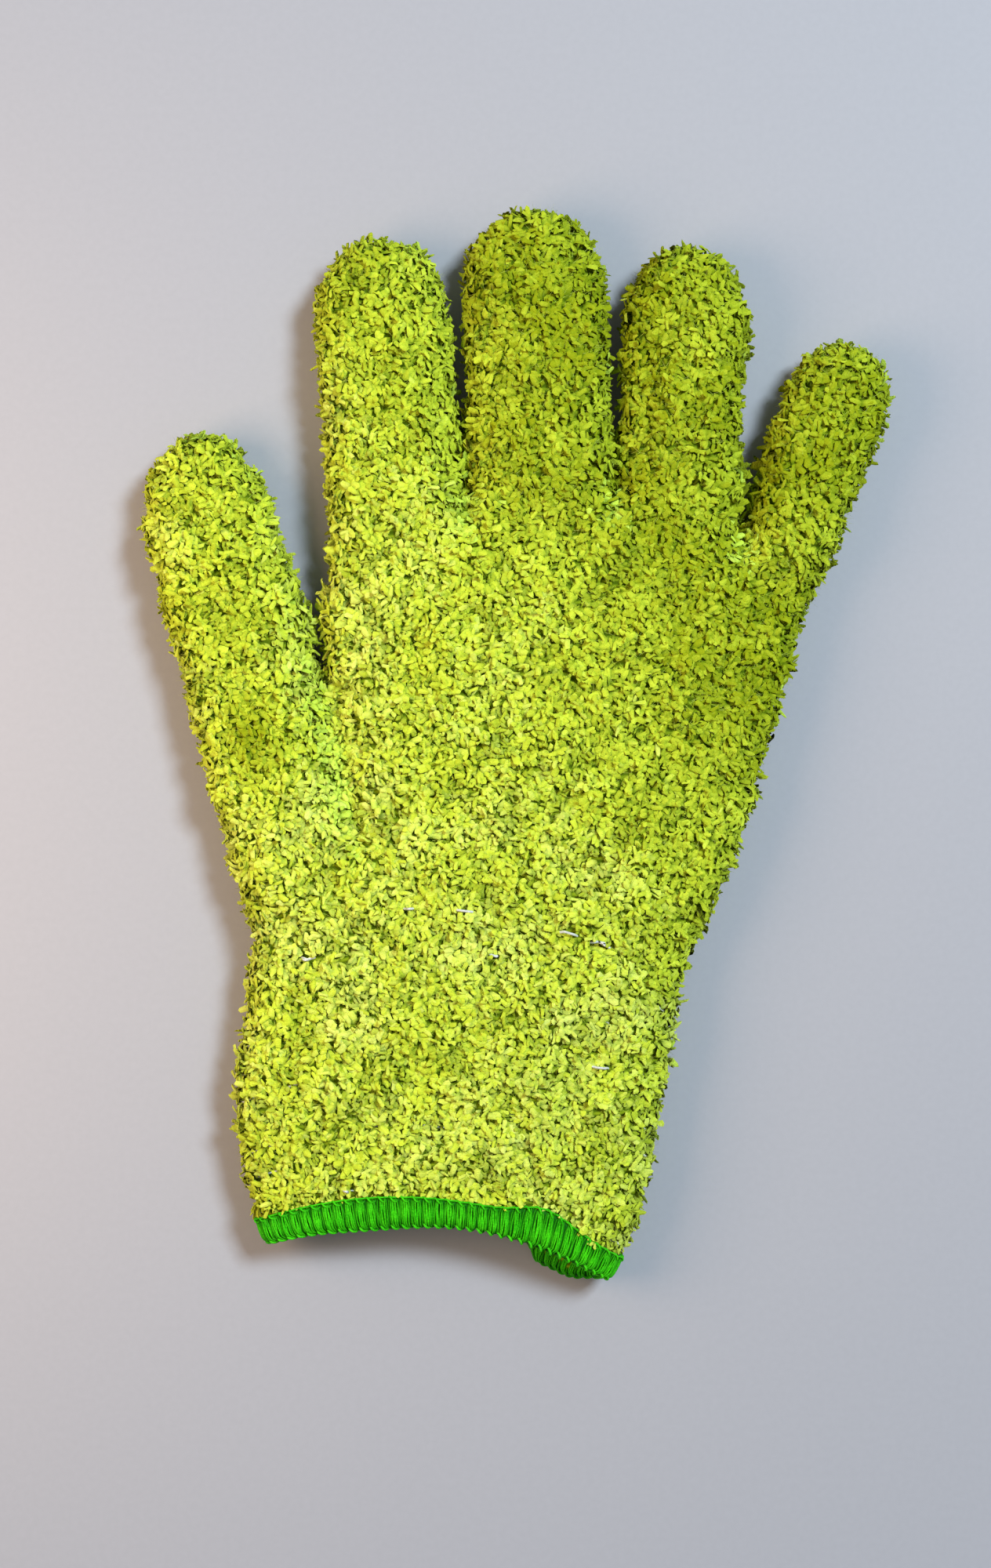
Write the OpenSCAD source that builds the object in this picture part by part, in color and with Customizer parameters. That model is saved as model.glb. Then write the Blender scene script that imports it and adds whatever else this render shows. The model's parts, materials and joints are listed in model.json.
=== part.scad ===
// Five-finger chenille wash glove lying flat, in millimetres.
// +Z is up, +Y points to the fingertips and the thumb is on the -X side.
// The origin is on the surface that the glove rests on, under the middle of the palm.

/* [Palm] */
// Thickness of the palm lying flat, pile included
palm_h = 18; // [16:0.5:24]
// Distance from the middle of the palm back to the wrist bend
palm_back = 46; // [38:1:56]
// Distance from the middle of the palm forward to the crotches of the fingers
palm_front = 54.5; // [46:0.5:66]
// Width across the wrist bend
wrist_w = 100.6; // [84:0.2:122]
// Sideways place of the wrist's middle
wrist_x = -5.5; // [-12:0.5:4]
// Sideways place of the middle of the index, middle and ring finger together
knuckle_x = 8.3; // [2:0.1:14]

/* [Fingers] */
// Thickness of the fingers and the thumb lying flat, pile included
finger_h = 17; // [14:0.5:20]
// Space between neighbouring fingers at their roots
finger_gap = 1.2; // [0.8:0.1:3]
// Width of the index finger at its root
index_root_w = 31.8; // [26:0.2:38.2]
// How much wider the index finger is at its widest than at its root
index_swell = 0.4; // [0:0.1:1.2]
// Length of the index finger's rounded tip
index_tip = 19; // [15:0.5:23]
// Length of the index finger from its crotch
index_l = 59.8; // [48:0.2:74]
// Lean of the index finger towards the little finger, in degrees
index_lean = -3.5; // [-8:0.5:0]
// Width of the middle finger at its root
middle_root_w = 31.5; // [25:0.2:39]
// How much wider the middle finger is at its widest than at its root
middle_swell = 3.1; // [0:0.1:4]
// Length of the middle finger's rounded tip
middle_tip = 18; // [14:0.5:22]
// Length of the middle finger from its crotch
middle_l = 66.3; // [54:0.2:82]
// Lean of the middle finger, in degrees
middle_lean = -1.6; // [-3:0.1:1]
// Width of the ring finger at its root
ring_root_w = 27.4; // [22:0.2:34]
// How much wider the ring finger is at its widest than at its root
ring_swell = 2.6; // [0:0.1:4]
// Length of the ring finger's rounded tip
ring_tip = 17; // [13:0.5:21]
// Length of the ring finger from its crotch
ring_l = 57.7; // [46:0.2:72]
// Lean of the ring finger, in degrees
ring_lean = 2.5; // [0:0.5:6]
// Width of the little finger at its root
little_root_w = 21.5; // [17:0.2:27]
// How much wider the little finger is at its widest than at its root
little_swell = 3.3; // [0:0.1:4.4]
// Length of the little finger's rounded tip
little_tip = 14; // [10:0.5:18]
// Length of the little finger from its crotch
little_l = 47; // [40:0.2:58]
// Lean of the little finger, in degrees
little_lean = 18; // [12:0.5:24]
// How far the little finger's crotch lies behind the other crotches
little_drop = 8.8; // [4:0.2:14]

/* [Thumb] */
// Width of the thumb at its root
thumb_root_w = 32; // [26:0.2:38]
// How much narrower the thumb is past its root
thumb_taper = 0.6; // [0:0.1:2]
// Length of the thumb's rounded tip
thumb_tip = 24; // [19:0.5:28]
// Length of the thumb from its crotch
thumb_l = 54.8; // [46:0.2:68]
// Lean of the thumb, in degrees
thumb_lean = -15; // [-24:0.5:-10]
// How far the thumb's crotch lies behind the finger crotches
thumb_drop = 37.4; // [30:0.2:46]
// Space between the thumb's root and the index finger's side
thumb_gap = 1.5; // [1:0.1:4]

/* [Walls and bends] */
// Thickness of the knit with its pile
wall = 4.5; // [3:0.1:5.4]
// Running space between two sections at a bend
bend_gap = 0.4; // [0.3:0.05:1]
// Where a digit's outer bend sits, as a share of its free length past its first bend
middle_bend = 0.49; // [0.4:0.01:0.6]

/* [Cuff] */
// Length of the wrist sleeve from the wrist bend to the top of the mouth's arch
cuff_l = 60; // [48:1:74]
// How much the sleeve narrows towards its mouth
cuff_narrowing = 24; // [12:1:32]
// Sideways place of the sleeve's middle
cuff_x = -10.4; // [-16:0.2:-4]
// Radius of the arch that the mouth's edge lies in
mouth_r = 86.4; // [70:0.2:120]
// Sideways place of the top of the arch
mouth_x = -20.9; // [-26:0.1:-10]
// Width of the overlocked edge
binding_w = 5.5; // [4:0.1:8]
// Thickness of each looper thread's layer
looper_t = 0.9; // [0.5:0.1:1.2]
// How deep the pile is pressed down under the overlocked edge
binding_inset = 0.8; // [0.3:0.1:1.2]
// Thickness of the needle thread
needle_t = 0.7; // [0.4:0.1:1]
// Spacing of the needle stitches
stitch_pitch = 5; // [2.5:0.5:8]
// Thickness of the elastic thread
elastic_t = 1; // [0.6:0.1:1.4]
// Spacing of the elastic rounds
elastic_pitch = 6; // [4:0.5:10]
// Running space round the elastic thread
elastic_gap = 0.1; // [0.05:0.05:0.3]

/* [Hidden] */
SIDES = 24;              // corners of a cross-section
ROUNDNESS = 2.6;         // 2 is an ellipse, more is squarer
FAR = 300;               // past everything
CAP_STEPS = [0, 26, 45, 60, 73, 83];    // where a tip's cross-sections stand on its round
ROUND_FN = 48;           // corners of a bend's drum
ARCH_FN = 128;           // corners of the arch that the mouth's edge lies in
STITCH_FN = 8;           // corners of a stitch

// How far a digit's hidden root runs back into the palm, and its size there
FINGER_ROOT = 24;
FINGER_ROOT_SIZE = 0.8;
LITTLE_ROOT = 20;
LITTLE_ROOT_SIZE = 0.7;
THUMB_ROOT = 56;
THUMB_ROOT_SIZE = 1.03;
// How far the leaning little finger and thumb tuck in over their neighbour's side
LITTLE_TUCK = 0.7;
THUMB_TUCK = 1.4;
// How far the palm's edge stays inside the little finger's outer side
LITTLE_EDGE = 3;
// How far the lower lip of a socket stays back from the axis
LIP = 3.4;
// From a crotch to the socket of the first bend
ROOT_STRAIGHT = 1.9;
// How far the palm's wide part ends behind the little finger's crotch
PALM_WEDGE = 6;
// Length over which the palm thins to the finger thickness
PALM_EASE = 25;
// How quickly the palm widens from the wrist towards the little finger
PALM_SPREAD = 0.72;
// How much the sleeve narrows evenly, besides the narrowing at its mouth
SLEEVE_TAPER = 4;
// From the top of the mouth's arch to where the sleeve is at its narrowest
NARROWEST = 15;
// How far the sleeve's cross-sections run past its corners before the mouth is cut
SLEEVE_SPARE = 4.2;
// How quickly the sleeve swings to its sideways place
SLEEVE_SWING = 2.2;
// Flare of the sleeve inside the bend, where it rounds to the drum
SLEEVE_FLARE = 0.6;
// Clear stretch from the bend to the first elastic round, and from the last to the binding
ELASTIC_START = 2;
ELASTIC_END = 4;

// Where the fingers stand: side by side, a gap apart, round knuckle_x
stack_w = index_root_w + middle_root_w + ring_root_w + 2 * finger_gap;
stack_left = knuckle_x - stack_w / 2;
stack_right = knuckle_x + stack_w / 2;
index_x = stack_left + index_root_w / 2;
middle_x = stack_left + index_root_w + finger_gap + middle_root_w / 2;
ring_x = stack_right - ring_root_w / 2;
little_x = stack_right + finger_gap + little_root_w / 2 / cos(little_lean) - LITTLE_TUCK;
little_y = palm_front - little_drop;
thumb_y = palm_front - thumb_drop;
thumb_x = stack_left - thumb_gap - thumb_root_w / 2 / cos(thumb_lean) + THUMB_TUCK;

// A bend's drum is half as high as the digit and its axis is at mid-height
drum_r = finger_h / 2;
socket_r = drum_r + bend_gap;
root_bend = socket_r + ROOT_STRAIGHT;

// The wrist's drum, the palm's sides and the sleeve's mouth
wrist_drum_r = palm_h / 2;
wrist_y = -palm_back;
wrist_left = wrist_x - wrist_w / 2;
wrist_right = wrist_x + wrist_w / 2;
little_right = little_x + little_root_w / 2 - LITTLE_EDGE;
arch_y = wrist_y - cuff_l - mouth_r;
mouth_half = (wrist_w - SLEEVE_TAPER - cuff_narrowing) / 2;
corner_out = mouth_half + abs(cuff_x - mouth_x);
cuff_end = cuff_l + mouth_r - sqrt(mouth_r * mouth_r - corner_out * corner_out) + SLEEVE_SPARE;

// Elastic rounds lie in courses, each a slice across the sleeve, half-way into the knit
first_round = wrist_drum_r + ELASTIC_START;
rounds = floor((cuff_l - binding_w - ELASTIC_END - first_round) / elastic_pitch);
elastic_depth = wall / 2;

// Where the two loopers meet on the cut edge, below the sleeve's outer surface
edge_middle = (binding_inset + wall) / 2;

// x, y of the crotch, lean, length, root width, swell, length of the rounded tip, length of
// the root inside the palm, and how large that root is where it starts
index = [index_x, palm_front, index_lean, index_l, index_root_w, index_swell, index_tip,
    FINGER_ROOT, FINGER_ROOT_SIZE];
middle = [middle_x, palm_front, middle_lean, middle_l, middle_root_w, middle_swell, middle_tip,
    FINGER_ROOT, FINGER_ROOT_SIZE];
ring = [ring_x, palm_front, ring_lean, ring_l, ring_root_w, ring_swell, ring_tip,
    FINGER_ROOT, FINGER_ROOT_SIZE];
little = [little_x, little_y, little_lean, little_l, little_root_w, little_swell, little_tip,
    LITTLE_ROOT, LITTLE_ROOT_SIZE];
thumb = [thumb_x, thumb_y, thumb_lean, thumb_l, thumb_root_w, -thumb_taper, thumb_tip,
    THUMB_ROOT, THUMB_ROOT_SIZE];
DIGITS = [index, middle, ring, little, thumb];

LIME = [0.72, 0.84, 0.2];
BRIGHT_GREEN = [0.12, 0.75, 0.1];
WHITE_THREAD = [0.95, 0.96, 0.92];

function clamp(t) = max(0, min(1, t));
function ease(t) = let (u = clamp(t)) u * u * (3 - 2 * u);
function mix(a, b, t) = a + (b - a) * t;
function power(v) = sign(v) * pow(abs(v), 2 / ROUNDNESS);

// Cross-section: a rounded oval w wide and h high, with a narrow flat below and above
function oval(w, h) = let (full = power(cos(180 / SIDES)))
    [for (i = [0 : SIDES - 1]) let (a = (i + 0.5) * 360 / SIDES)
        [w / 2 * power(cos(a)) / full, h / 2 * power(sin(a)) / full]];

// The corners of one cross-section [x, y, width, height, z] standing across Y
function ring_points(st) = [for (p = oval(st[2], st[3])) [st[0] + p[0], st[1], st[4] + p[1]]];

// A tube through a list of cross-sections, one convex piece between each two
module loft(stations) {
    for (i = [0 : len(stations) - 2]) hull()
        polyhedron(concat(ring_points(stations[i]), ring_points(stations[i + 1])),
            [[for (k = [0 : SIDES - 1]) k], [for (k = [0 : SIDES - 1]) 2 * SIDES - 1 - k]]);
}

// ---- digits -------------------------------------------------------------------------------

// A digit's width s past its crotch, before the rounding of its tip
function body_w(d, s) = d[4] + d[5] * ease(s / (0.65 * d[3]));

// The digit's outer form for depth 0, or its hollow for depth wall, in its own frame
module digit_form(d, depth) {
    length = d[3] - depth;
    cap = d[6] - depth / 2;
    straight = [-d[7], -1, 0.2 * length, 0.45 * length];
    stations = concat(
        [for (s = straight) let (k = s < -1 ? d[8] : 1)
            [0, s, k * body_w(d, s) - 2 * depth, k * finger_h - 2 * depth, finger_h / 2]],
        [for (a = CAP_STEPS) let (s = length - cap + cap * sin(a), end = length - cap)
            [0, s, (body_w(d, min(s, end)) - 2 * depth) * cos(a),
                (finger_h - 2 * depth) * sqrt(cos(a)), finger_h / 2]]);
    loft(stations);
}

// Puts a digit's own frame, with Y along the digit, where the digit stands
module at_digit(d) {
    translate([d[0], d[1], 0]) rotate([0, 0, -d[2]]) children();
}

// A bend's frame, with X along its axis: across the thumb, or along the row of fingers
module at_bend(d, s) {
    translate([0, s, finger_h / 2]) rotate([0, 0, d == thumb ? 0 : d[2]]) children();
}

// Everything on the far side of a bend, with the round drum that turns in the socket
module beyond_bend() {
    rotate([0, 90, 0]) cylinder(r = drum_r, h = FAR, center = true, $fn = ROUND_FN);
    translate([-FAR / 2, 0, -FAR / 2]) cube([FAR, FAR, FAR]);
}

// What the section before a bend leaves free: the socket, and the room of the folded digit
module bend_room() {
    rotate([0, 90, 0]) cylinder(r = socket_r, h = FAR, center = true, $fn = ROUND_FN);
    translate([-FAR / 2, -LIP, -FAR / 2]) cube([FAR, FAR, FAR]);
    translate([-FAR / 2, -socket_r, 0]) cube([FAR, FAR, FAR / 2]);
}

// How far past its crotch a digit's outer bend is
function outer_bend(d) = mix(root_bend, d[3], middle_bend);

// The section of a digit between its two bends
module digit_lower(d) {
    at_digit(d) difference() {
        intersection() {
            digit_form(d, 0);
            at_bend(d, root_bend) beyond_bend();
        }
        digit_form(d, wall);
        at_bend(d, outer_bend(d)) bend_room();
    }
}

// The section of a digit from its outer bend to its closed tip
module digit_upper(d) {
    at_digit(d) difference() {
        intersection() {
            digit_form(d, 0);
            at_bend(d, outer_bend(d)) beyond_bend();
        }
        digit_form(d, wall);
    }
}

// The part of a digit that belongs to the palm, up to its first bend
module digit_root(d) {
    at_digit(d) difference() {
        digit_form(d, 0);
        at_bend(d, root_bend) bend_room();
    }
}

module thumb_lower() {
    color(LIME) digit_lower(thumb);
}

module thumb_upper() {
    color(LIME) digit_upper(thumb);
}

module index_lower() {
    color(LIME) digit_lower(index);
}

module index_upper() {
    color(LIME) digit_upper(index);
}

module middle_lower() {
    color(LIME) digit_lower(middle);
}

module middle_upper() {
    color(LIME) digit_upper(middle);
}

module ring_lower() {
    color(LIME) digit_lower(ring);
}

module ring_upper() {
    color(LIME) digit_upper(ring);
}

module little_lower() {
    color(LIME) digit_lower(little);
}

module little_upper() {
    color(LIME) digit_upper(little);
}

// ---- palm ---------------------------------------------------------------------------------

// The palm's sides, from the wrist bend to the finger roots
function palm_left(y) = mix(wrist_left, stack_left, clamp((y - wrist_y) / (thumb_y - wrist_y)));
function palm_right(y) = mix(wrist_right, little_right,
    pow(clamp((y - wrist_y) / (little_y - wrist_y)), PALM_SPREAD));
function palm_height(y) = mix(palm_h, finger_h, ease((y - little_y + PALM_EASE) / PALM_EASE));

// The palm's cross-section at y, between a left and a right side
function palm_station(y, left, right, depth) = [(left + right) / 2, y, right - left - 2 * depth,
    palm_height(y) - 2 * depth, palm_height(y) / 2];

// The palm's outer form for depth 0, or its hollow for depth wall. Past the little finger's
// crotch it is only as wide as the row of the three other fingers
module palm_form(depth) {
    reach = little_y - PALM_WEDGE - wrist_y;
    loft(concat(
        [for (t = [-0.14, 0.12, 0.3, 0.5, 0.7, 0.88, 1]) let (y = wrist_y + reach * t)
            palm_station(y, palm_left(y), palm_right(y), depth)],
        [palm_station(little_y + 1, stack_left, stack_right - 0.3, depth),
            palm_station(palm_front - 1, stack_left, stack_right, depth)]));
}

module palm_shell() {
    color(LIME) difference() {
        union() {
            palm_form(0);
            for (d = DIGITS) digit_root(d);
        }
        palm_form(wall);
        for (d = DIGITS) at_digit(d) digit_form(d, wall);
        wrist_side_room();
    }
}

// The palm ends in front of the sleeve's drum
module wrist_side_room() {
    translate([-FAR / 2, wrist_y + wrist_drum_r + bend_gap - FAR, -FAR / 2])
        cube([FAR, FAR, FAR]);
}

// ---- wrist sleeve and elastic -------------------------------------------------------------

// The sleeve's cross-section, behind is the distance behind the wrist bend
function sleeve_station(behind, depth) =
    let (t = clamp(behind / (cuff_l + NARROWEST)), flare = SLEEVE_FLARE * max(0, -behind))
    [mix(wrist_x, cuff_x, ease(t * SLEEVE_SWING)), wrist_y - behind,
        wrist_w + flare - SLEEVE_TAPER * t - cuff_narrowing * pow(t, 4) - 2 * depth,
        palm_h - 2 * depth, palm_h / 2];

// The sleeve's form at a depth below its outer surface
module sleeve_form(depth) {
    loft([for (t = [-0.15, 0, 0.12, 0.35, 0.55, 0.7, 0.8, 0.88, 0.95, 1.02])
        sleeve_station(cuff_end * t, depth)]);
}

// The layer of the sleeve between two depths
module sleeve_layer(from, to) {
    difference() {
        sleeve_form(from);
        sleeve_form(to);
    }
}

// The wrist side of the wrist bend, with the drum that turns in front of it
module sleeve_side() {
    translate([0, wrist_y, palm_h / 2]) {
        rotate([0, 90, 0]) cylinder(r = wrist_drum_r, h = FAR, center = true, $fn = ROUND_FN);
        translate([-FAR / 2, -FAR, -FAR / 2]) cube([FAR, FAR, FAR]);
    }
}

// Everything nearer than dist to the mouth's edge, measured into the glove, and all outside
module inside_mouth(dist) {
    translate([mouth_x, arch_y, 0])
        cylinder(r = mouth_r + dist, h = FAR, center = true, $fn = ARCH_FN);
}

// The strip of the cuff between two distances from the mouth's edge
module mouth_strip(from, to) {
    difference() {
        inside_mouth(to);
        inside_mouth(from);
    }
}

// The slice across the sleeve that elastic round i lies in
module course_slice(i, thickness) {
    translate([-FAR / 2, wrist_y - first_round - i * elastic_pitch - thickness / 2, -1])
        cube([FAR, thickness, palm_h + 2]);
}

module wrist_sleeve() {
    color(LIME) difference() {
        intersection() {
            sleeve_form(0);
            sleeve_side();
        }
        sleeve_form(wall);
        inside_mouth(looper_t);
        // under the overlocked edge the knit is pressed thin between the loopers
        intersection() {
            sleeve_layer(-1, binding_inset + looper_t);
            inside_mouth(binding_w);
        }
        intersection() {
            sleeve_form(wall - looper_t);
            inside_mouth(binding_w);
        }
        for (i = [0 : rounds]) intersection() {
            sleeve_form(elastic_depth - elastic_gap);
            course_slice(i, elastic_t + 2 * elastic_gap);
        }
    }
}

module elastic_thread() {
    color(WHITE_THREAD) for (i = [0 : rounds]) intersection() {
        sleeve_layer(elastic_depth, elastic_depth + elastic_t);
        course_slice(i, elastic_t);
    }
}

// ---- overlocked edge ----------------------------------------------------------------------

// The thread over the outside of the cuff, down to the middle of the cut edge
module binding_outer_looper() {
    color(BRIGHT_GREEN) {
        intersection() {
            sleeve_layer(binding_inset, binding_inset + looper_t);
            mouth_strip(0, binding_w);
        }
        intersection() {
            sleeve_layer(binding_inset, edge_middle);
            mouth_strip(0, looper_t);
        }
    }
}

// The thread over the inside of the cuff, up to the middle of the cut edge
module binding_inner_looper() {
    color(BRIGHT_GREEN) {
        intersection() {
            sleeve_layer(wall - looper_t, wall);
            mouth_strip(0, binding_w);
        }
        intersection() {
            sleeve_layer(edge_middle, wall);
            mouth_strip(0, looper_t);
        }
    }
}

// The thread along the loopers' inner edge, with stitches through each layer of the flat cuff
module binding_needle_thread() {
    turn = 2 * asin(stitch_pitch / 2 / (mouth_r + binding_w));
    side = floor(asin((mouth_half + SLEEVE_TAPER / 2 - palm_h / 2) / mouth_r) / turn);
    middle_turn = asin((cuff_x - mouth_x) / mouth_r);
    color(BRIGHT_GREEN) {
        intersection() {
            sleeve_layer(binding_inset - needle_t / 2, binding_inset + needle_t / 2);
            mouth_strip(binding_w, binding_w + needle_t);
        }
        for (i = [-side : side])
            translate([mouth_x, arch_y, 0]) rotate([0, 0, -middle_turn - i * turn])
                translate([0, mouth_r + binding_w + needle_t / 2, 0]) {
                    translate([0, 0, binding_inset]) stitch();
                    translate([0, 0, palm_h - wall]) stitch();
                }
    }
}

// One stitch through one layer of the cuff
module stitch() {
    cylinder(d = needle_t, h = wall - binding_inset, $fn = STITCH_FN);
}

palm_shell();
wrist_sleeve();
elastic_thread();
binding_outer_looper();
binding_inner_looper();
binding_needle_thread();
thumb_lower();
thumb_upper();
index_lower();
index_upper();
middle_lower();
middle_upper();
ring_lower();
ring_upper();
little_lower();
little_upper();
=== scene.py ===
"""Five-finger chenille wash glove lying flat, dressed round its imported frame.

The knit is one skin over a union of round tubes, the pile is made of bent tufts that stand on it,
and the overlocked edge and the elastic are real threads. Sizes are in millimetres until a mesh is
written, in metres, in the frame's own axes: +Y to the fingertips, +Z up, the thumb on the -X side.
"""

import json
import logging
import math
from dataclasses import dataclass, field
from enum import Enum
from typing import Iterable, Sequence

import bpy
import numpy as np
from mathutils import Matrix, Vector


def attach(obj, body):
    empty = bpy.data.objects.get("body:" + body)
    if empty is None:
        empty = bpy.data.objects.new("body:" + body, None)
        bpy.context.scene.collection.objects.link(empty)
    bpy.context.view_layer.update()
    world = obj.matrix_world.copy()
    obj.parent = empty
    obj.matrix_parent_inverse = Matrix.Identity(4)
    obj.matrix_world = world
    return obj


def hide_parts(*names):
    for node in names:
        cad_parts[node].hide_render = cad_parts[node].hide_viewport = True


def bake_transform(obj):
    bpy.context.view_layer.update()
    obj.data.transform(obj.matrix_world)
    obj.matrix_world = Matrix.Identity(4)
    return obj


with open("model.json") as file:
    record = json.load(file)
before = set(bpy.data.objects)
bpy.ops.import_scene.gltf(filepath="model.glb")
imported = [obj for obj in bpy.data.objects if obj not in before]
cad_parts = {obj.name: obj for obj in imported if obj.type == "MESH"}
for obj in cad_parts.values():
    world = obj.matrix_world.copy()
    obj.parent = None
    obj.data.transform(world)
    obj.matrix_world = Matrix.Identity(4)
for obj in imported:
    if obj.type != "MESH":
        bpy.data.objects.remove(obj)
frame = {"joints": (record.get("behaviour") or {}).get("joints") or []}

MM = 0.001
ROUNDNESS = 2.6
SEED = 411
LOG = logging.getLogger("wash_glove")
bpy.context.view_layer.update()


# ---- small maths ----------------------------------------------------------------------------


def ease(t: np.ndarray) -> np.ndarray:
    """A smooth step: 3t^2 - 2t^3 with t kept between 0 and 1."""
    t = np.clip(t, 0, 1)
    return t * t * (3 - 2 * t)


def mix(a: np.ndarray, b: np.ndarray, t: np.ndarray) -> np.ndarray:
    """The value a share t of the way from a to b."""
    return a + (b - a) * t


def signed_power(v: np.ndarray, exponent: float) -> np.ndarray:
    """v raised to a power with its sign kept."""
    return np.sign(v) * np.abs(v) ** exponent


def oval(turn: np.ndarray) -> tuple[np.ndarray, np.ndarray]:
    """The cosine and the sine of an angle, each to the power 2/ROUNDNESS: a squarish oval."""
    return signed_power(np.cos(turn), 2 / ROUNDNESS), signed_power(np.sin(turn), 2 / ROUNDNESS)


def bell(away: np.ndarray, reach: float) -> np.ndarray:
    """1 where away is 0, falling off as e to the power -(away / reach)^2."""
    return np.exp(-((away / reach) ** 2))


def unit(v: np.ndarray) -> np.ndarray:
    """Vectors scaled to length 1 along the last axis."""
    return v / np.maximum(np.linalg.norm(v, axis=-1, keepdims=True), 1e-9)


class SmoothNoise:
    """Seeded noise: random numbers on a lattice, blended smoothly between lattice points."""

    CELLS = 32

    def __init__(self, seed: int) -> None:
        """Fills the lattice."""
        self.lattice = np.random.default_rng(seed).random((self.CELLS,) * 3)

    def at(self, points: np.ndarray, size: float) -> np.ndarray:
        """Noise from -1 to 1 at points.

        Args:
            points: (n, 3) places.
            size: distance between lattice points.

        Returns:
            One number for each point, the lattice values mixed by smooth steps along each axis.
        """
        cell = np.floor(points / size).astype(int)
        share = ease(points / size - cell)
        total = np.zeros(len(points))
        for corner in np.ndindex(2, 2, 2):
            weight = np.prod(np.where(corner, share, 1 - share), axis=1)
            i, j, k = ((cell + corner) % self.CELLS).T
            total += weight * self.lattice[i, j, k]
        return 2 * total - 1


# ---- meshes ---------------------------------------------------------------------------------


@dataclass
class Surface:
    """Points in millimetres with faces that index them, before it becomes an object.

    The values are named numbers, one for each point, that the finish reads; the spots are the
    points' places on the bake's map; the shading holds directions to shade by.
    """

    points: np.ndarray
    faces: list[np.ndarray]
    values: dict[str, np.ndarray] = field(default_factory=dict)
    spots: np.ndarray | None = None
    shading: np.ndarray | None = None

    @staticmethod
    def joined(parts: Sequence["Surface"]) -> "Surface":
        """All parts as one surface, with each part's faces moved on by the points before it."""
        starts = np.cumsum([0] + [len(p.points) for p in parts[:-1]])
        faces = [f + start for p, start in zip(parts, starts) for f in p.faces]
        values = {key: np.concatenate([p.values[key] for p in parts]) for key in parts[0].values}
        return Surface(np.concatenate([p.points for p in parts]), faces, values)

    def mesh(self, name: str) -> bpy.types.Mesh:
        """A Blender mesh in metres, smooth shaded."""
        mesh = bpy.data.meshes.new(name)
        mesh.vertices.add(len(self.points))
        mesh.vertices.foreach_set("co", (self.points * MM).astype(np.float32).ravel())
        corners = np.concatenate([f.ravel() for f in self.faces]).astype(np.int32)
        sizes = np.concatenate([np.full(len(f), f.shape[1]) for f in self.faces])
        mesh.loops.add(len(corners))
        mesh.loops.foreach_set("vertex_index", corners)
        mesh.polygons.add(len(sizes))
        starts = np.concatenate([[0], np.cumsum(sizes)[:-1]]).astype(np.int32)
        mesh.polygons.foreach_set("loop_start", starts)
        mesh.update(calc_edges=True)
        mesh.polygons.foreach_set("use_smooth", np.ones(len(sizes), bool))
        for key, numbers in self.values.items():
            layer = mesh.attributes.new(key, "FLOAT", "POINT")
            layer.data.foreach_set("value", numbers.astype(np.float32))
        if self.spots is not None:
            layer = mesh.uv_layers.new(name="OFBake")
            layer.data.foreach_set("uv", np.clip(self.spots, 0, 1)[corners].astype(np.float32).ravel())
        if self.shading is not None:
            mesh.normals_split_custom_set_from_vertices(self.shading)
        return mesh


def add_object(name: str, mesh: bpy.types.Mesh) -> bpy.types.Object:
    """A new object at the origin that shows the mesh."""
    thing = bpy.data.objects.new(name, mesh)
    bpy.context.scene.collection.objects.link(thing)
    return thing


def grid_faces(rows: int, columns: int, closed: bool) -> np.ndarray:
    """Quads of a grid of points stored row by row.

    Args:
        rows: how many rows of points.
        columns: how many points in a row.
        closed: whether the last column meets the first.

    Returns:
        (n, 4) indices, turned so that a tube whose columns run anticlockwise faces outwards.
    """
    across = columns if closed else columns - 1
    r, c = np.meshgrid(np.arange(rows - 1), np.arange(across), indexing="ij")
    n = (c + 1) % columns
    quads = [r * columns + c, r * columns + n, (r + 1) * columns + n, (r + 1) * columns + c]
    return np.stack(quads, axis=-1).reshape(-1, 4)


def sweep(paths: np.ndarray, outward: np.ndarray, radius: np.ndarray, sides: int) -> Surface:
    """Round threads along many paths at once: a circle carried square to each path.

    Args:
        paths: (n, m, 3) points of n paths.
        outward: (n, m, 3) directions roughly square to the paths.
        radius: a number or (n, m) radii.
        sides: corners of the circle.

    Returns:
        The closed tubes, each with a flat cap at both ends.
    """
    count, steps = paths.shape[:2]
    along = unit(np.gradient(paths, axis=1))
    side = unit(np.cross(along, outward))
    up = np.cross(side, along)
    turn = np.arange(sides) * 2 * np.pi / sides
    ring = side[:, :, None] * np.cos(turn)[:, None] + up[:, :, None] * np.sin(turn)[:, None]
    radii = np.broadcast_to(radius, (count, steps))[:, :, None, None]
    points = paths[:, :, None] + ring * radii
    first = np.arange(count)[:, None] * steps * sides
    tube = grid_faces(steps, sides, True)[:, ::-1]
    walls = (first[:, :, None] + tube).reshape(-1, 4)
    start = first + np.arange(sides)
    end = first + (steps - 1) * sides + np.arange(sides)[::-1]
    return Surface(points.reshape(-1, 3), [walls, start, end])


# ---- shader nodes ---------------------------------------------------------------------------


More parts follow.
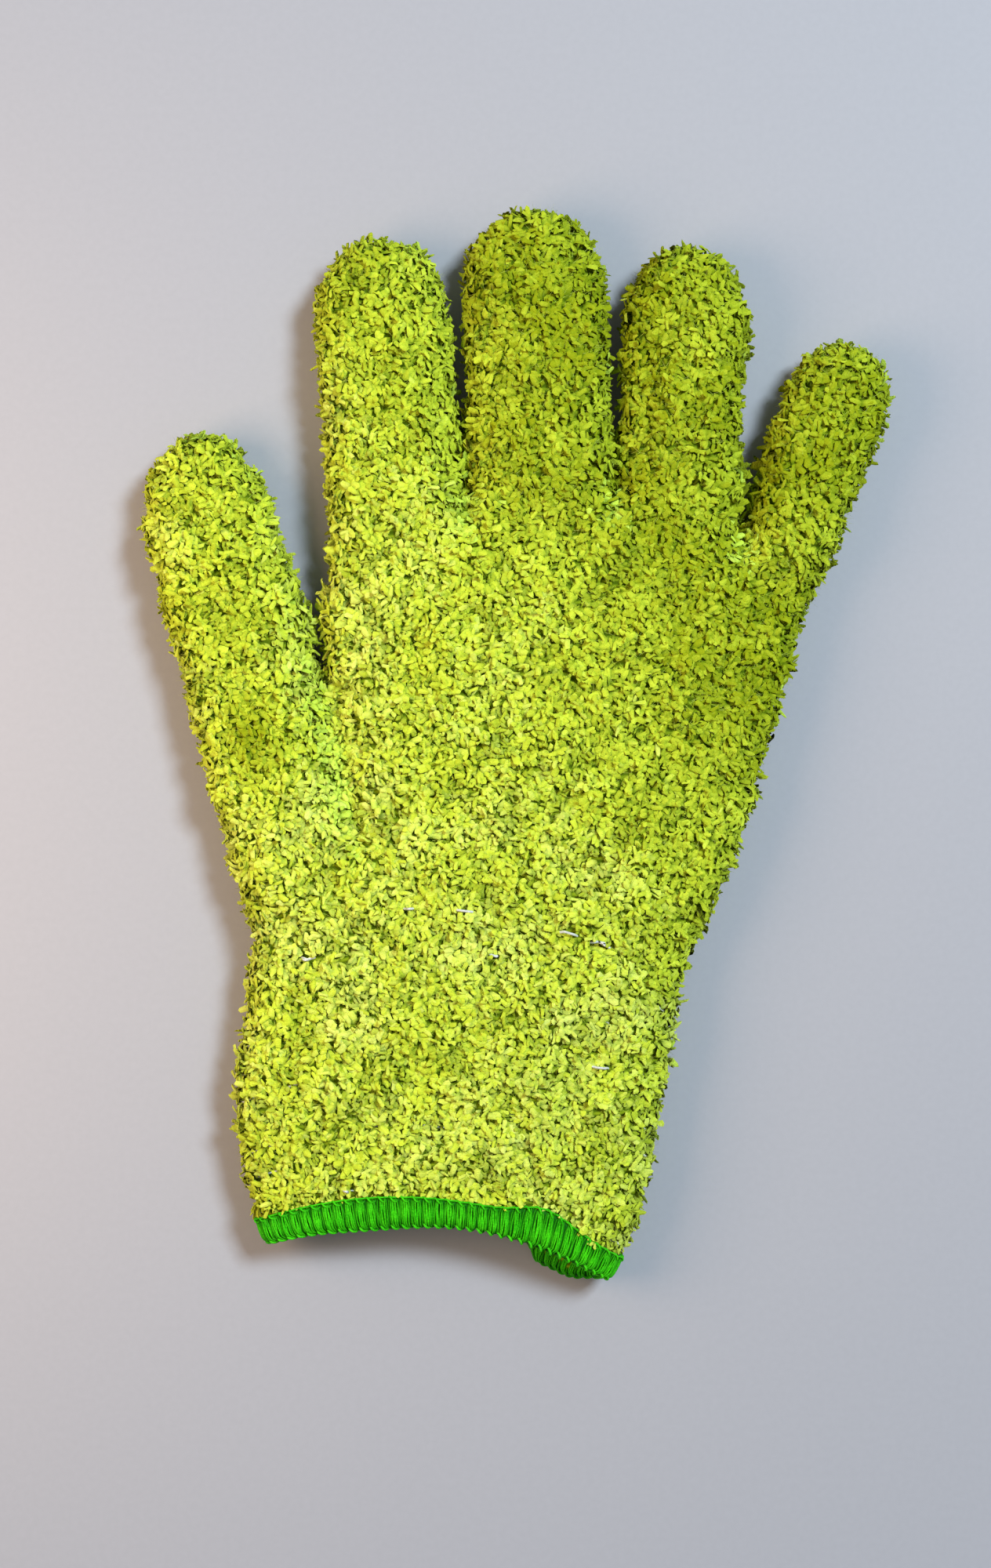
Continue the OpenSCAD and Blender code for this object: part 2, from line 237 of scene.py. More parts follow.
class Shade:
    """A number coming out of a node, with arithmetic that adds Math nodes."""

    def __init__(self, finish: "Nodes", socket: bpy.types.NodeSocket) -> None:
        """Wraps a socket of the finish's node tree."""
        self.nodes, self.socket = finish, socket

    def _math(self, operation: str, a: "Shade | float", b: "Shade | float") -> "Shade":
        """A Math node on two numbers or sockets."""
        return self.nodes.number("ShaderNodeMath", {"operation": operation}, {0: a, 1: b})

    def __add__(self, other: "Shade | float") -> "Shade":
        """self + other."""
        return self._math("ADD", self, other)

    __radd__ = __add__

    def __sub__(self, other: "Shade | float") -> "Shade":
        """self - other."""
        return self._math("SUBTRACT", self, other)

    def __rsub__(self, other: "Shade | float") -> "Shade":
        """other - self."""
        return self._math("SUBTRACT", other, self)

    def __mul__(self, other: "Shade | float") -> "Shade":
        """self * other."""
        return self._math("MULTIPLY", self, other)

    __rmul__ = __mul__


class Nodes:
    """A material's node tree, built up node by node."""

    def __init__(self, name: str) -> None:
        """Starts an empty tree."""
        self.material = bpy.data.materials.new(name)
        self.material.use_nodes = True
        self.tree = self.material.node_tree
        self.tree.nodes.clear()

    def add(self, kind: str, settings: dict | None = None, sockets: dict | None = None) -> bpy.types.Node:
        """One node.

        Args:
            kind: the node's type.
            settings: properties set first, or a list of (place, colour) under "stops" for a ramp.
            sockets: values or links, by the input's name or number.

        Returns:
            The node.
        """
        node = self.tree.nodes.new(kind)
        settings = dict(settings or {})
        for place, (at, colour) in enumerate(settings.pop("stops", [])):
            stops = node.color_ramp.elements
            stop = stops[place] if place < 2 else stops.new(at)
            stop.position, stop.color = at, (*colour, 1)
        for key, value in settings.items():
            setattr(node, key, value)
        for key, value in (sockets or {}).items():
            if isinstance(value, Shade):
                value = value.socket
            if isinstance(value, bpy.types.NodeSocket):
                self.tree.links.new(value, node.inputs[key])
            else:
                node.inputs[key].default_value = value
        return node

    def number(self, kind: str, settings: dict, sockets: dict, output: str | int = 0) -> Shade:
        """A node's output as a number for arithmetic."""
        return Shade(self, self.add(kind, settings, sockets).outputs[output])

    def attribute(self, name: str) -> Shade:
        """A number stored on the piece's points or corners."""
        return self.number("ShaderNodeAttribute", {"attribute_name": name}, {}, "Fac")

    def place(self) -> bpy.types.NodeSocket:
        """The Object coordinates."""
        return self.add("ShaderNodeTexCoord").outputs["Object"]

    def noise(self, size_mm: float, detail: float = 2.0) -> Shade:
        """Noise over the piece, from 0 to 1, with lumps about size_mm across."""
        sockets = {"Vector": self.place(), "Scale": 1 / (size_mm * MM), "Detail": detail}
        return self.number("ShaderNodeTexNoise", {}, sockets, "Fac")

    def bump(self, height: Shade, strength: float, deep_mm: float) -> bpy.types.NodeSocket:
        """A normal raised by a height of up to deep_mm."""
        sockets = {"Strength": strength, "Distance": deep_mm * MM, "Height": height}
        return self.add("ShaderNodeBump", {}, sockets).outputs[0]

    def ramp(self, shade: Shade, stops: list) -> bpy.types.NodeSocket:
        """A colour from a number by a ramp's stops, its two ends first."""
        return self.add("ShaderNodeValToRGB", {"stops": stops}, {0: shade}).outputs[0]

    def blended(self, share: Shade, first: tuple, second: bpy.types.NodeSocket) -> bpy.types.NodeSocket:
        """The first colour where the share is 0 and the second where it's 1."""
        sockets = {0: share, 6: (*first, 1), 7: second}
        return self.add("ShaderNodeMix", {"data_type": "RGBA"}, sockets).outputs[2]

    def finish(self, sockets: dict) -> bpy.types.Material:
        """Ends the tree with a Principled shader that has these inputs."""
        shader = self.add("ShaderNodeBsdfPrincipled", {}, sockets)
        self.add("ShaderNodeOutputMaterial", {}, {"Surface": shader.outputs[0]})
        return self.material


# ---- finishes -------------------------------------------------------------------------------


@dataclass(frozen=True)
class ChenilleFinish:
    """Lime plush yarn: painted shade dark between the tufts, olive to lime on them, bright on top."""

    # root: the dark colour of painted shade between and under the tufts.
    root: tuple = (0.10, 0.17, 0.003)
    olive: tuple = (0.345, 0.41, 0.008)
    lime: tuple = (0.685, 0.825, 0.05)
    bright: tuple = (0.83, 0.93, 0.20)
    # fresh_deep and fresh: the greener tone of painted cool light beside folds and on the sides.
    fresh_deep: tuple = (0.58, 0.82, 0.05)
    fresh: tuple = (0.78, 0.97, 0.13)
    fibre_mm: float = 0.4
    mottle: float = 0.32

    def material(self) -> bpy.types.Material:
        """A ramp over the tint gives the tuft's colour; painted shade darkens it at root and edges."""
        nodes = Nodes("chenille_pile")
        tint, height = nodes.attribute("tint"), nodes.attribute("height")
        fibres = nodes.noise(self.fibre_mm)
        shade = tint + (fibres - 0.5) * self.mottle
        stops = [(0.0, self.olive), (1.0, self.fresh), (0.4, self.lime), (0.77, self.bright),
                 (0.79, self.fresh_deep)]
        # Painted shade: the height attribute blends the colour towards the root colour.
        sockets = {
            "Base Color": nodes.blended(height, self.root, nodes.ramp(shade, stops)),
            "Roughness": 0.9,
            "Normal": nodes.bump(fibres, 0.7, 0.3),
            "Specular IOR Level": 0.04,
        }
        return nodes.finish(sockets)


@dataclass(frozen=True)
class GroundFinish:
    """The knitted ground under the pile: deep green yarn in courses and wales, painted darker as shade."""

    # The yarn's own deep green, made darker as painted shade for the gaps between the tufts.
    deep: tuple = (0.09, 0.15, 0.003)
    yarn: tuple = (0.28, 0.38, 0.010)
    course_mm: float = 1.6

    def material(self) -> bpy.types.Material:
        """Waves across the courses, mixed with noise, raise the yarn; painted shade darkens the low parts.
        """
        nodes = Nodes("knitted_ground")
        sockets = {
            "Vector": nodes.place(),
            "Scale": 0.31 / (self.course_mm * MM),
            "Distortion": 2.5,
            "Detail": 2.0,
        }
        rows = nodes.number("ShaderNodeTexWave", {"bands_direction": "Y"}, sockets, "Fac")
        relief = rows * 0.6 + nodes.noise(0.8, 3) * 0.4
        sockets = {
            "Base Color": nodes.ramp(relief, [(0.25, self.deep), (0.8, self.yarn)]),
            "Roughness": 0.9,
            "Normal": nodes.bump(relief, 0.8, 0.6),
            "Specular IOR Level": 0.08,
        }
        return nodes.finish(sockets)


@dataclass(frozen=True)
class ThreadFinish:
    """Sewing thread: satin filaments, with a slight change of colour along and between them."""

    name: str
    dark: tuple
    light: tuple
    roughness: float
    # Painted shade: the dark colour in the pits between bundles and on the bed under the filaments.
    pit_shade: tuple = (0.002, 0.09, 0.0008)
    shaded_pits: bool = False

    def material(self) -> bpy.types.Material:
        """A ramp over fine noise colours the filaments; painted shade darkens them between the bundles."""
        nodes = Nodes(self.name)
        filament = nodes.noise(0.35, 3)
        patches = nodes.noise(4.0, 1)
        shade = filament * 0.7 + patches * 0.3
        colour = nodes.ramp(shade, [(0.3, self.dark), (0.7, self.light)])
        # Painted shade in the pits, by the height attribute.
        if self.shaded_pits:
            colour = nodes.blended(nodes.attribute("height"), self.pit_shade, colour)
        sockets = {
            "Base Color": colour,
            "Roughness": self.roughness,
            "Normal": nodes.bump(filament, 0.35, 0.1),
            "Specular IOR Level": 0.07,
        }
        return nodes.finish(sockets)


@dataclass(frozen=True)
class FloorFinish:
    """A plain pale matt surface."""

    colour: tuple = (0.40, 0.40, 0.425)

    def material(self) -> bpy.types.Material:
        """A very faint grain on one pale colour."""
        nodes = Nodes("pale_floor")
        light = tuple(c * 1.03 for c in self.colour)
        colour = nodes.ramp(nodes.noise(1.5), [(0.3, self.colour), (0.7, light)])
        return nodes.finish({"Base Color": colour, "Roughness": 0.6})


# ---- the glove's form -----------------------------------------------------------------------


@dataclass(frozen=True)
class Tube:
    """A round limb of the glove: oval cross-sections along a straight line over the floor.

    The stations give, against the distance s along the line, the sideways place of the middle,
    half the width, half the height and the height of the middle.
    """

    LEAST_HALF = 0.3

    origin: np.ndarray
    lean: float
    s: np.ndarray
    middle: np.ndarray
    half_w: np.ndarray
    half_h: np.ndarray
    middle_z: np.ndarray

    def to_frame(self, x: np.ndarray, s: np.ndarray, z: np.ndarray) -> np.ndarray:
        """Points of the frame from a sideways place, a distance along the tube and a height."""
        c, n = math.cos(self.lean), math.sin(self.lean)
        return np.stack([self.origin[0] + x * c + s * n, self.origin[1] + s * c - x * n, z], axis=-1)

    def along(self, points: np.ndarray) -> tuple[np.ndarray, np.ndarray]:
        """The sideways place and the distance along the tube of points of the frame."""
        c, n = math.cos(self.lean), math.sin(self.lean)
        dx, dy = points[:, 0] - self.origin[0], points[:, 1] - self.origin[1]
        return dx * c - dy * n, dx * n + dy * c

    def surface(self, sides: int = 72) -> Surface:
        """The closed surface, with a flat cap at both ends.

        A corner at angle a stands at half the width times cos a and half the height times sin a,
        each to the power 2/ROUNDNESS.
        """
        across, upward = oval(np.arange(sides) * 2 * np.pi / sides)
        half_w = np.maximum(self.half_w, self.LEAST_HALF)
        half_h = np.maximum(self.half_h, self.LEAST_HALF)
        x = self.middle[:, None] + half_w[:, None] * across
        z = self.middle_z[:, None] + half_h[:, None] * upward
        s = np.broadcast_to(self.s[:, None], x.shape)
        walls = grid_faces(len(self.s), sides, True)[:, ::-1]
        start = np.arange(sides)[None]
        end = (len(self.s) - 1) * sides + start[:, ::-1]
        return Surface(self.to_frame(x, s, z).reshape(-1, 3), [walls, start, end])

    def inside(self, points: np.ndarray) -> np.ndarray:
        """How far out in the tube points are: under 1 inside it, 1 on its surface."""
        x, s = self.along(points)
        half_w = np.interp(s, self.s, self.half_w)
        half_h = np.interp(s, self.s, self.half_h)
        dx = np.abs(x - np.interp(s, self.s, self.middle)) / np.maximum(half_w, 0.1)
        dz = np.abs(points[:, 2] - np.interp(s, self.s, self.middle_z)) / np.maximum(half_h, 0.1)
        value = (dx**ROUNDNESS + dz**ROUNDNESS) ** (1 / ROUNDNESS)
        beyond = np.maximum(self.s[0] - s, s - self.s[-1])
        return value + np.maximum(beyond, 0)


@dataclass(frozen=True)
class DigitSizes:
    """What a digit's joints don't say: its widths, its rounded tip and its hidden root."""

    root_w: float
    swell: float
    tip: float
    root: float = 24.0
    root_size: float = 0.8


DIGITS = {
    "thumb": DigitSizes(32.0, -0.6, 24.0, 56.0, 1.03),
    "index": DigitSizes(31.8, 0.4, 19.0),
    "middle": DigitSizes(31.5, 3.1, 18.0),
    "ring": DigitSizes(27.4, 2.6, 17.0),
    "little": DigitSizes(21.5, 3.3, 14.0, 20.0, 0.7),
}


@dataclass
class Digit:
    """A finger or the thumb, placed by its two joints.

    The root joint stands ROOT_BEND past the crotch and the middle joint a share MIDDLE_BEND of
    the way on to the tip, so the two joints give the crotch, the lean and the length.
    """

    ROOT_BEND = 10.8
    MIDDLE_BEND = 0.49
    MOST_BLEND = 10.0
    MARGIN = 0.9
    SWELLING = 0.65
    OVERLAP = 1.0
    ROOT_ROWS, STRAIGHT_ROWS, TIP_ROWS = 13, 40, 21
    TIP_TURN = 87.0

    name: str
    sizes: DigitSizes
    root_joint: np.ndarray
    middle_joint: np.ndarray
    height: float
    tube: Tube = field(init=False)

    def __post_init__(self) -> None:
        """Works out the digit's line and its tube."""
        line = self.middle_joint[:2] - self.root_joint[:2]
        reach = float(np.linalg.norm(line))
        self.lean = math.atan2(line[0], line[1])
        self.crotch = self.root_joint[:2] - line / reach * self.ROOT_BEND
        self.outer_bend = self.ROOT_BEND + reach
        self.length = self.ROOT_BEND + reach / self.MIDDLE_BEND
        self.blend = min(self.MOST_BLEND, reach / 2 - self.MARGIN)
        self.root_cut = self.ROOT_BEND - self.blend - self.MARGIN
        self.middle_cut = (self.ROOT_BEND + self.outer_bend) / 2
        self.tube = self.tube_at(0.0)

    def width(self, s: np.ndarray) -> np.ndarray:
        """The width s past the crotch: the root's, swelling smoothly over two thirds."""
        return self.sizes.root_w + self.sizes.swell * ease(s / (self.SWELLING * self.length))

    def tube_at(self, depth: float) -> Tube:
        """The digit's tube a depth below its outer surface.

        Over the tip the width falls off as cos a and the height as the root of cos a while the
        distance grows as sin a; behind the crotch the root narrows into the palm.
        """
        cap = self.sizes.tip - depth / 2
        end = self.length - depth - cap
        straight = np.linspace(-self.OVERLAP, end, self.STRAIGHT_ROWS)
        back = np.linspace(-self.sizes.root, -self.OVERLAP, self.ROOT_ROWS + 1)[:-1]
        turn = np.radians(np.linspace(0, self.TIP_TURN, self.TIP_ROWS + 1))[1:]
        ahead = (back + self.sizes.root) / (self.sizes.root - self.OVERLAP)
        size = mix(self.sizes.root_size, 1.0, ahead)
        half_w = np.concatenate([
            size * self.width(back) / 2 - depth,
            self.width(straight) / 2 - depth,
            (self.width(np.array([end])) / 2 - depth) * np.cos(turn),
        ])
        half_h = np.concatenate([
            size * self.height / 2 - depth,
            np.full(self.STRAIGHT_ROWS, self.height / 2 - depth),
            (self.height / 2 - depth) * np.sqrt(np.cos(turn)),
        ])
        s = np.concatenate([back, straight, end + cap * np.sin(turn)])
        middle_z = np.full(len(s), self.height / 2)
        return Tube(self.crotch, self.lean, s, np.zeros(len(s)), half_w, half_h, middle_z)

    def point(self, s: float) -> tuple[float, float, float]:
        """A point on the digit's own line, in metres."""
        return tuple(self.tube.to_frame(0.0, s, self.height / 2) * MM)


@dataclass
class GloveForm:
    """The whole glove's outer form: five digits on a flat body that runs down to the mouth."""

    palm_h: float = 18.0
    finger_h: float = 17.0
    wrist_w: float = 100.6
    cuff_l: float = 60.0
    cuff_x: float = -10.4
    cuff_narrowing: float = 24.0
    taper: float = 4.0
    narrowest: float = 15.0
    mouth_r: float = 86.4
    mouth_x: float = -20.9
    wrist_blend: float = 12.0
    spread: float = 0.72
    little_edge: float = 3.0
    body_end: float = -126.0
    body_rows: int = 90
    thinning: float = 25.0
    sway: float = 2.2
    half_layer: float = 3.0
    corner_starts: tuple = (6.5, 3.5)
    corner_ends: tuple = (15.0, 13.0)
    corner_hang: float = 4.6
    corner_band: tuple = (11.5, 7.5, 0.5)
    left_x: float = -27.0
    left_reach: float = 14.0
    left_hang: float = 1.2
    left_band: float = 0.22

    def __post_init__(self) -> None:
        """Reads the joints and works out the digits and the body."""
        joints = {j["name"]: np.array(j["pos_m"]) / MM for j in frame["joints"]}
        self.digits = [
            Digit(name, size, joints[f"{name}_root_bend"], joints[f"{name}_middle_bend"], self.finger_h)
            for name, size in DIGITS.items()
        ]
        self.by_name = {d.name: d for d in self.digits}
        self.wrist_x, self.wrist_y = joints["wrist_flex"][:2]
        self.arch_y = self.wrist_y - self.cuff_l - self.mouth_r
        index, ring = self.by_name["index"], self.by_name["ring"]
        self.left = index.crotch[0] - index.sizes.root_w / 2
        self.right = ring.crotch[0] + ring.sizes.root_w / 2
        self.front = index.crotch[1]
        self.body = self.body_at(0.0)
        self.tubes = [self.body] + [d.tube for d in self.digits]

    def sleeve(self, y: np.ndarray) -> tuple[np.ndarray, np.ndarray]:
        """The middle and the width of the sleeve: an even taper and a quick one at the mouth."""
        t = np.clip((self.wrist_y - y) / (self.cuff_l + self.narrowest), 0, 1)
        width = self.wrist_w - self.taper * t - self.cuff_narrowing * t**4
        return mix(self.wrist_x, self.cuff_x, ease(t * self.sway)), width

    def body_at(self, depth: float) -> Tube:
        """The palm and the sleeve as one tube a depth below the outer surface.

        The left side runs straight from the wrist to the index finger, the right side widens by
        a power of the distance to the little finger, and past the little finger's crotch the body
        is only as wide as the three other fingers.
        """
        little, thumb = self.by_name["little"], self.by_name["thumb"]
        little_y, thumb_y = little.crotch[1], thumb.crotch[1]
        little_right = little.crotch[0] + little.sizes.root_w / 2 - self.little_edge
        rows = np.linspace(self.body_end, little_y - 6, self.body_rows)
        y = np.concatenate([rows, [little_y + 1, self.front - 1]])
        middle, width = self.sleeve(y)
        up = np.clip((y - self.wrist_y) / (thumb_y - self.wrist_y), 0, 1)
        left = mix(self.wrist_x - self.wrist_w / 2, self.left, up)
        across = np.clip((y - self.wrist_y) / (little_y - self.wrist_y), 0, 1)
        right = mix(self.wrist_x + self.wrist_w / 2, little_right, across**self.spread)
        left = np.where(y < self.wrist_y, middle - width / 2, left)
        right = np.where(y < self.wrist_y, middle + width / 2, right)
        right[-2:] = self.right
        half_h = mix(self.palm_h, self.finger_h, ease((y - little_y + self.thinning) / self.thinning)) / 2
        half_w = (right - left) / 2 - depth
        return Tube(np.zeros(2), 0.0, y, (left + right) / 2, half_w, half_h - depth, half_h)

    def apart(self, points: np.ndarray) -> np.ndarray:
        """How far points are from the second nearest digit, against that digit's half width."""
        return np.sort([d.tube.inside(points) for d in self.digits], axis=0)[1]

    def hang(self, x: np.ndarray, z: np.ndarray) -> np.ndarray:
        """How far the edge hangs below the arch.

        The lower layer hangs out near the right corner, and the upper one a little at the left.
        """
        upper = ease((z - self.palm_h / 2) / self.half_layer)
        lower = ease((self.palm_h / 2 - z) / self.half_layer)
        start, start_length = self.corner_starts
        end, end_length = self.corner_ends
        right = ease((x - start) / start_length) * (1 - ease((x - end) / end_length))
        left = bell(x - self.left_x, self.left_reach)
        return self.corner_hang * lower * right + self.left_hang * upper * left

    def band_stretch(self, x: np.ndarray, z: np.ndarray) -> np.ndarray:
        """How much wider the band lies on the upper face: more at the right, a little at left."""
        upper = ease((z - self.palm_h / 2) / self.half_layer)
        middle, reach, most = self.corner_band
        right = most * bell(x - middle, reach)
        left = self.left_band * bell(x - self.left_x, self.left_reach)
        return 1 + (right + left) * upper

    def from_edge(self, points: np.ndarray) -> np.ndarray:
        """The distance from the mouth's edge into the glove, negative outside it."""
        x, y, z = points.T
        radius = np.hypot(x - self.mouth_x, y - self.arch_y)
        return (radius - self.mouth_r + self.hang(x, z)) / self.band_stretch(x, z)


@dataclass(frozen=True)
class Fold:
    """A groove where the plush folds in, fading out towards its end."""

    FADE = 2.5

    start: tuple
    end: tuple
    depth: float
    half_w: float

    def nearness(self, points: np.ndarray, spread: float = 1.0) -> np.ndarray:
        """A bell across the groove, 1 on its line, that fades over the last part of its run."""
        start = np.array(self.start)
        line = np.array(self.end) - start
        t = np.clip((points[:, :2] - start) @ line / (line @ line), 0, 1)
        away = np.linalg.norm(points[:, :2] - start - t[:, None] * line, axis=1)
        return ease((1 - t) * self.FADE) * bell(away, self.half_w * spread)


@dataclass
class Skin:
    """The knitted ground as one surface, with normals, a piece for each point, and its inside."""

    form: GloveForm
    pile: float = 2.3
    ground: float = 2.0
    voxel: float = 1.25
    lump: float = 0.75
    lump_mm: float = 5.5
    small_lump: float = 0.5
    small_lump_mm: float = 3.0
    fill: float = 1.2
    gap_reach: float = 9.0

    def __post_init__(self) -> None:
        """Builds the surface."""
        self.union()
        self.relax(6)
        self.points += self.normals() * self.relief()[:, None]
        self.relax(3)
        self.normal = self.normals()

    def union(self) -> None:
        """Joins the tubes into one closed skin by a voxel remesh and reads it back."""
        parts = [self.form.body_at(self.pile).surface()]
        parts += [d.tube_at(self.pile).surface() for d in self.form.digits]
        thing = add_object("union", Surface.joined(parts).mesh("union"))
        remesh = thing.modifiers.new("remesh", "REMESH")
        remesh.mode, remesh.voxel_size = "VOXEL", self.voxel * MM
        done = thing.evaluated_get(bpy.context.evaluated_depsgraph_get())
        mesh = bpy.data.meshes.new_from_object(done)
        self.points = np.empty(len(mesh.vertices) * 3)
        mesh.vertices.foreach_get("co", self.points)
        self.points = self.points.reshape(-1, 3) / MM
        corners = np.empty(len(mesh.loops), int)
        mesh.loops.foreach_get("vertex_index", corners)
        sizes = np.empty(len(mesh.polygons), int)
        mesh.polygons.foreach_get("loop_total", sizes)
        if (sizes != 4).any():
            raise RuntimeError("the remesh gave faces that aren't quads")
        self.quads = corners.reshape(-1, 4)
        for data in (thing.data, mesh):
            bpy.data.meshes.remove(data)

    def gathered(self, owner: np.ndarray, vectors: np.ndarray) -> np.ndarray:
        """For each point, the sum of the vectors whose owner it is."""
        sums = [np.bincount(owner, part, len(self.points)) for part in vectors.T]
        return np.stack(sums, axis=1)

    def relax(self, rounds: int) -> None:
        """Moves each point half-way to the mean of its neighbours, a few times over."""
        a = self.quads.ravel()
        b = np.roll(self.quads, -1, axis=1).ravel()
        ends = np.concatenate([a, b])
        others = np.concatenate([b, a])
        count = np.bincount(ends, minlength=len(self.points))[:, None]
        for _ in range(rounds):
            total = self.gathered(ends, self.points[others])
            self.points = mix(self.points, total / count, 0.5)

    def normals(self) -> np.ndarray:
        """The mean of the faces' normals round each point."""
        p = self.points[self.quads]
        face = np.cross(p[:, 2] - p[:, 0], p[:, 3] - p[:, 1])
        return unit(self.gathered(self.quads.ravel(), np.repeat(face, 4, axis=0)))

    @property
    def folds(self) -> list[Fold]:
        """The folds along the thumb and below the crotches between the fingers."""
        form = self.form
        thumb, index, middle, _, little = form.digits
        thumb_start = (form.left - 0.5, thumb.crotch[1] + 4)
        thumb_end = (form.left + 10, form.wrist_y + 13)
        gaps = [
            (index.crotch[0] + index.sizes.root_w / 2 + 0.6, form.front + 3, form.front - 11, 1.6),
            (middle.crotch[0] + middle.sizes.root_w / 2 + 0.6, form.front + 3, form.front - 8, 1.3),
            (form.right + 0.8, little.crotch[1] + 5, little.crotch[1] - 8, 1.6),
        ]
        below_gaps = [Fold((x, start), (x, end), depth, 2.2) for x, start, end, depth in gaps]
        return [Fold(thumb_start, thumb_end, 2.6, 3.6)] + below_gaps

    @property
    def rolls(self) -> list[Fold]:
        """Shallow grooves along the fingers, where their sides roll up beside the next one."""
        lines = {
            "index": ((9.5, 30.0), (12.5, -6.0), 1.1, 2.4),
            "middle": ((-10.5, 34.0), (-11.0, -4.0), 1.1, 2.2),
            "ring": ((-6.5, 32.0), (-9.0, -6.0), 1.8, 2.6),
        }
        result = []
        for name, (start, end, depth, half_w) in lines.items():
            corner = np.array([self.form.by_name[name].crotch[0], self.form.front])
            result.append(Fold(tuple(corner + start), tuple(corner + end), depth, half_w))
        return result

    def relief(self) -> np.ndarray:
        """How far out each point moves.

        Lumps of two sizes, less a bell-shaped groove along each fold, and the sides that face
        each other across a gap between digits come closer together near its end.
        """
        facing_up = np.abs(self.normals()[:, 2])
        out = self.lump * SmoothNoise(SEED).at(self.points, self.lump_mm)
        out += self.small_lump * SmoothNoise(SEED + 1).at(self.points, self.small_lump_mm)
        for fold in self.folds + self.rolls:
            out -= fold.depth * fold.nearness(self.points) * facing_up
        return out + self.fill * self.near_gap(self.points) * (1 - facing_up)

    def near_fold(self, points: np.ndarray) -> np.ndarray:
        """How near points of the upper face are to a fold: 1 in it, 0 away from it."""
        near = np.max([fold.nearness(points, 1.3) for fold in self.folds], axis=0)
        return near * ease((points[:, 2] - self.form.palm_h / 2) / self.form.half_layer)

    def near_gap(self, points: np.ndarray) -> np.ndarray:
        """How near points are to the closed end of a gap between two digits."""
        ends = np.array([fold.start for fold in self.folds]) + np.array([0.0, 6.0])
        away = np.linalg.norm(points[:, None, :2] - ends, axis=2).min(axis=1)
        return bell(away, self.gap_reach)

    def regions(self, points: np.ndarray) -> np.ndarray:
        """The name of the piece that each point belongs to."""
        form = self.form
        reach = np.stack([digit.tube.along(points)[1] for digit in form.digits])
        cuts = np.array([digit.root_cut for digit in form.digits])[:, None]
        shares = np.stack([tube.inside(points) for tube in form.tubes])
        shares[1:] = np.where(reach < cuts, np.inf, shares[1:])
        owner = shares.argmin(axis=0)
        names = np.full(len(points), "palm", dtype=object)
        names[(owner == 0) & (points[:, 1] < form.wrist_y + form.wrist_blend + 1)] = "wrist"
        for row, digit in enumerate(form.digits):
            upper = reach[row] >= digit.middle_cut
            names[(owner == row + 1) & ~upper] = f"{digit.name}_lower"
            names[(owner == row + 1) & upper] = f"{digit.name}_upper"
        return names

    def pieces(self, edge: float) -> dict[str, Surface]:
        """The ground's pieces: its outside, its inside and the rim that joins them at the mouth.

        Args:
            edge: how far inside the mouth's edge the knit ends.

        Returns:
            A surface for each piece's name.
        """
        centre = self.points[self.quads].mean(axis=1)
        kept = self.form.from_edge(centre) > edge
        quads, names = self.quads[kept], self.regions(centre[kept])
        inner = self.points - self.normal * self.ground
        both = np.concatenate([self.points, inner])
        shift = len(self.points)
        a, b = quads.ravel(), np.roll(quads, -1, axis=1).ravel()
        owner = np.repeat(np.arange(len(quads)), 4)
        key = np.minimum(a, b) * shift + np.maximum(a, b)
        _, where, count = np.unique(key, return_inverse=True, return_counts=True)
        rim = count[where] == 1
        rims = np.stack([b[rim], a[rim], a[rim] + shift, b[rim] + shift], axis=1)
        result = {}
        for name in dict.fromkeys(names):
            mine = names == name
            outside = quads[mine]
            edges = rims[mine[owner[rim]]]
            faces = np.concatenate([outside, outside[:, ::-1] + shift, edges])
            used, compact = np.unique(faces, return_inverse=True)
            result[name] = Surface(both[used], [compact.reshape(-1, 4)])
        return result


# ---- riding on the frame --------------------------------------------------------------------


@dataclass
class Rig:
    """Places the pieces: palm pieces hang on the frame's palm body, the rest keep their place."""

    form: GloveForm

    def tie(self, thing: bpy.types.Object, region: str, slot: str, nodes: Iterable[str] = ()) -> None:
        """Hangs a palm piece on the palm body and bakes any other piece's place into its points.

        Args:
            thing: the piece.
            region: palm, wrist, or a digit's lower or upper section.
            slot: not used.
            nodes: the CAD nodes that the piece stands for.
        """
        form = self.form
        if region == "palm":
            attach(thing, "palm")
        elif region == "wrist":
            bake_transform(thing)
        else:
            name, part = region.split("_")
            digit = form.by_name[name]
            at = digit.ROOT_BEND if part == "lower" else digit.outer_bend
            before = "palm" if part == "lower" else f"{name}_lower"
            start, end = digit.point(at - digit.blend), digit.point(at + digit.blend)
            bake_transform(thing)
        if nodes:
            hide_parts(*nodes)


SHELL_NODES = {"palm": "palm_shell", "wrist": "wrist_sleeve"}


@dataclass
class KnittedGround:
    """The knitted fabric that the pile stands on."""

    skin: Skin
    rig: Rig
    finish: GroundFinish = GroundFinish()
    edge: float = 1.4

    def build(self) -> None:
        """Makes one piece for each stretch of the glove, in place of that stretch's CAD node."""
        material = self.finish.material()
        for region, surface in self.skin.pieces(self.edge).items():
            thing = add_object(f"knit_{region}", surface.mesh(f"knit_{region}"))
            thing.data.materials.append(material)
            self.rig.tie(thing, region, "chenille_knit", [SHELL_NODES.get(region, region)])
            LOG.info("knit_%s: %d faces", region, len(surface.faces[0]))


# ---- elastic --------------------------------------------------------------------------------


@dataclass(frozen=True)
class Dash:
    """A stretch where the elastic lies on the pile instead of under it: its middle and length."""

    x: float
    y: float
    length: float
    slope: float = 0.0

    def away(self, x: np.ndarray, y: np.ndarray) -> tuple[np.ndarray, np.ndarray]:
        """Distances from the dash's ends along it and from its line."""
        along = np.abs(x - self.x) - self.length / 2
        return np.maximum(along, 0), y - self.y - self.slope * (x - self.x)


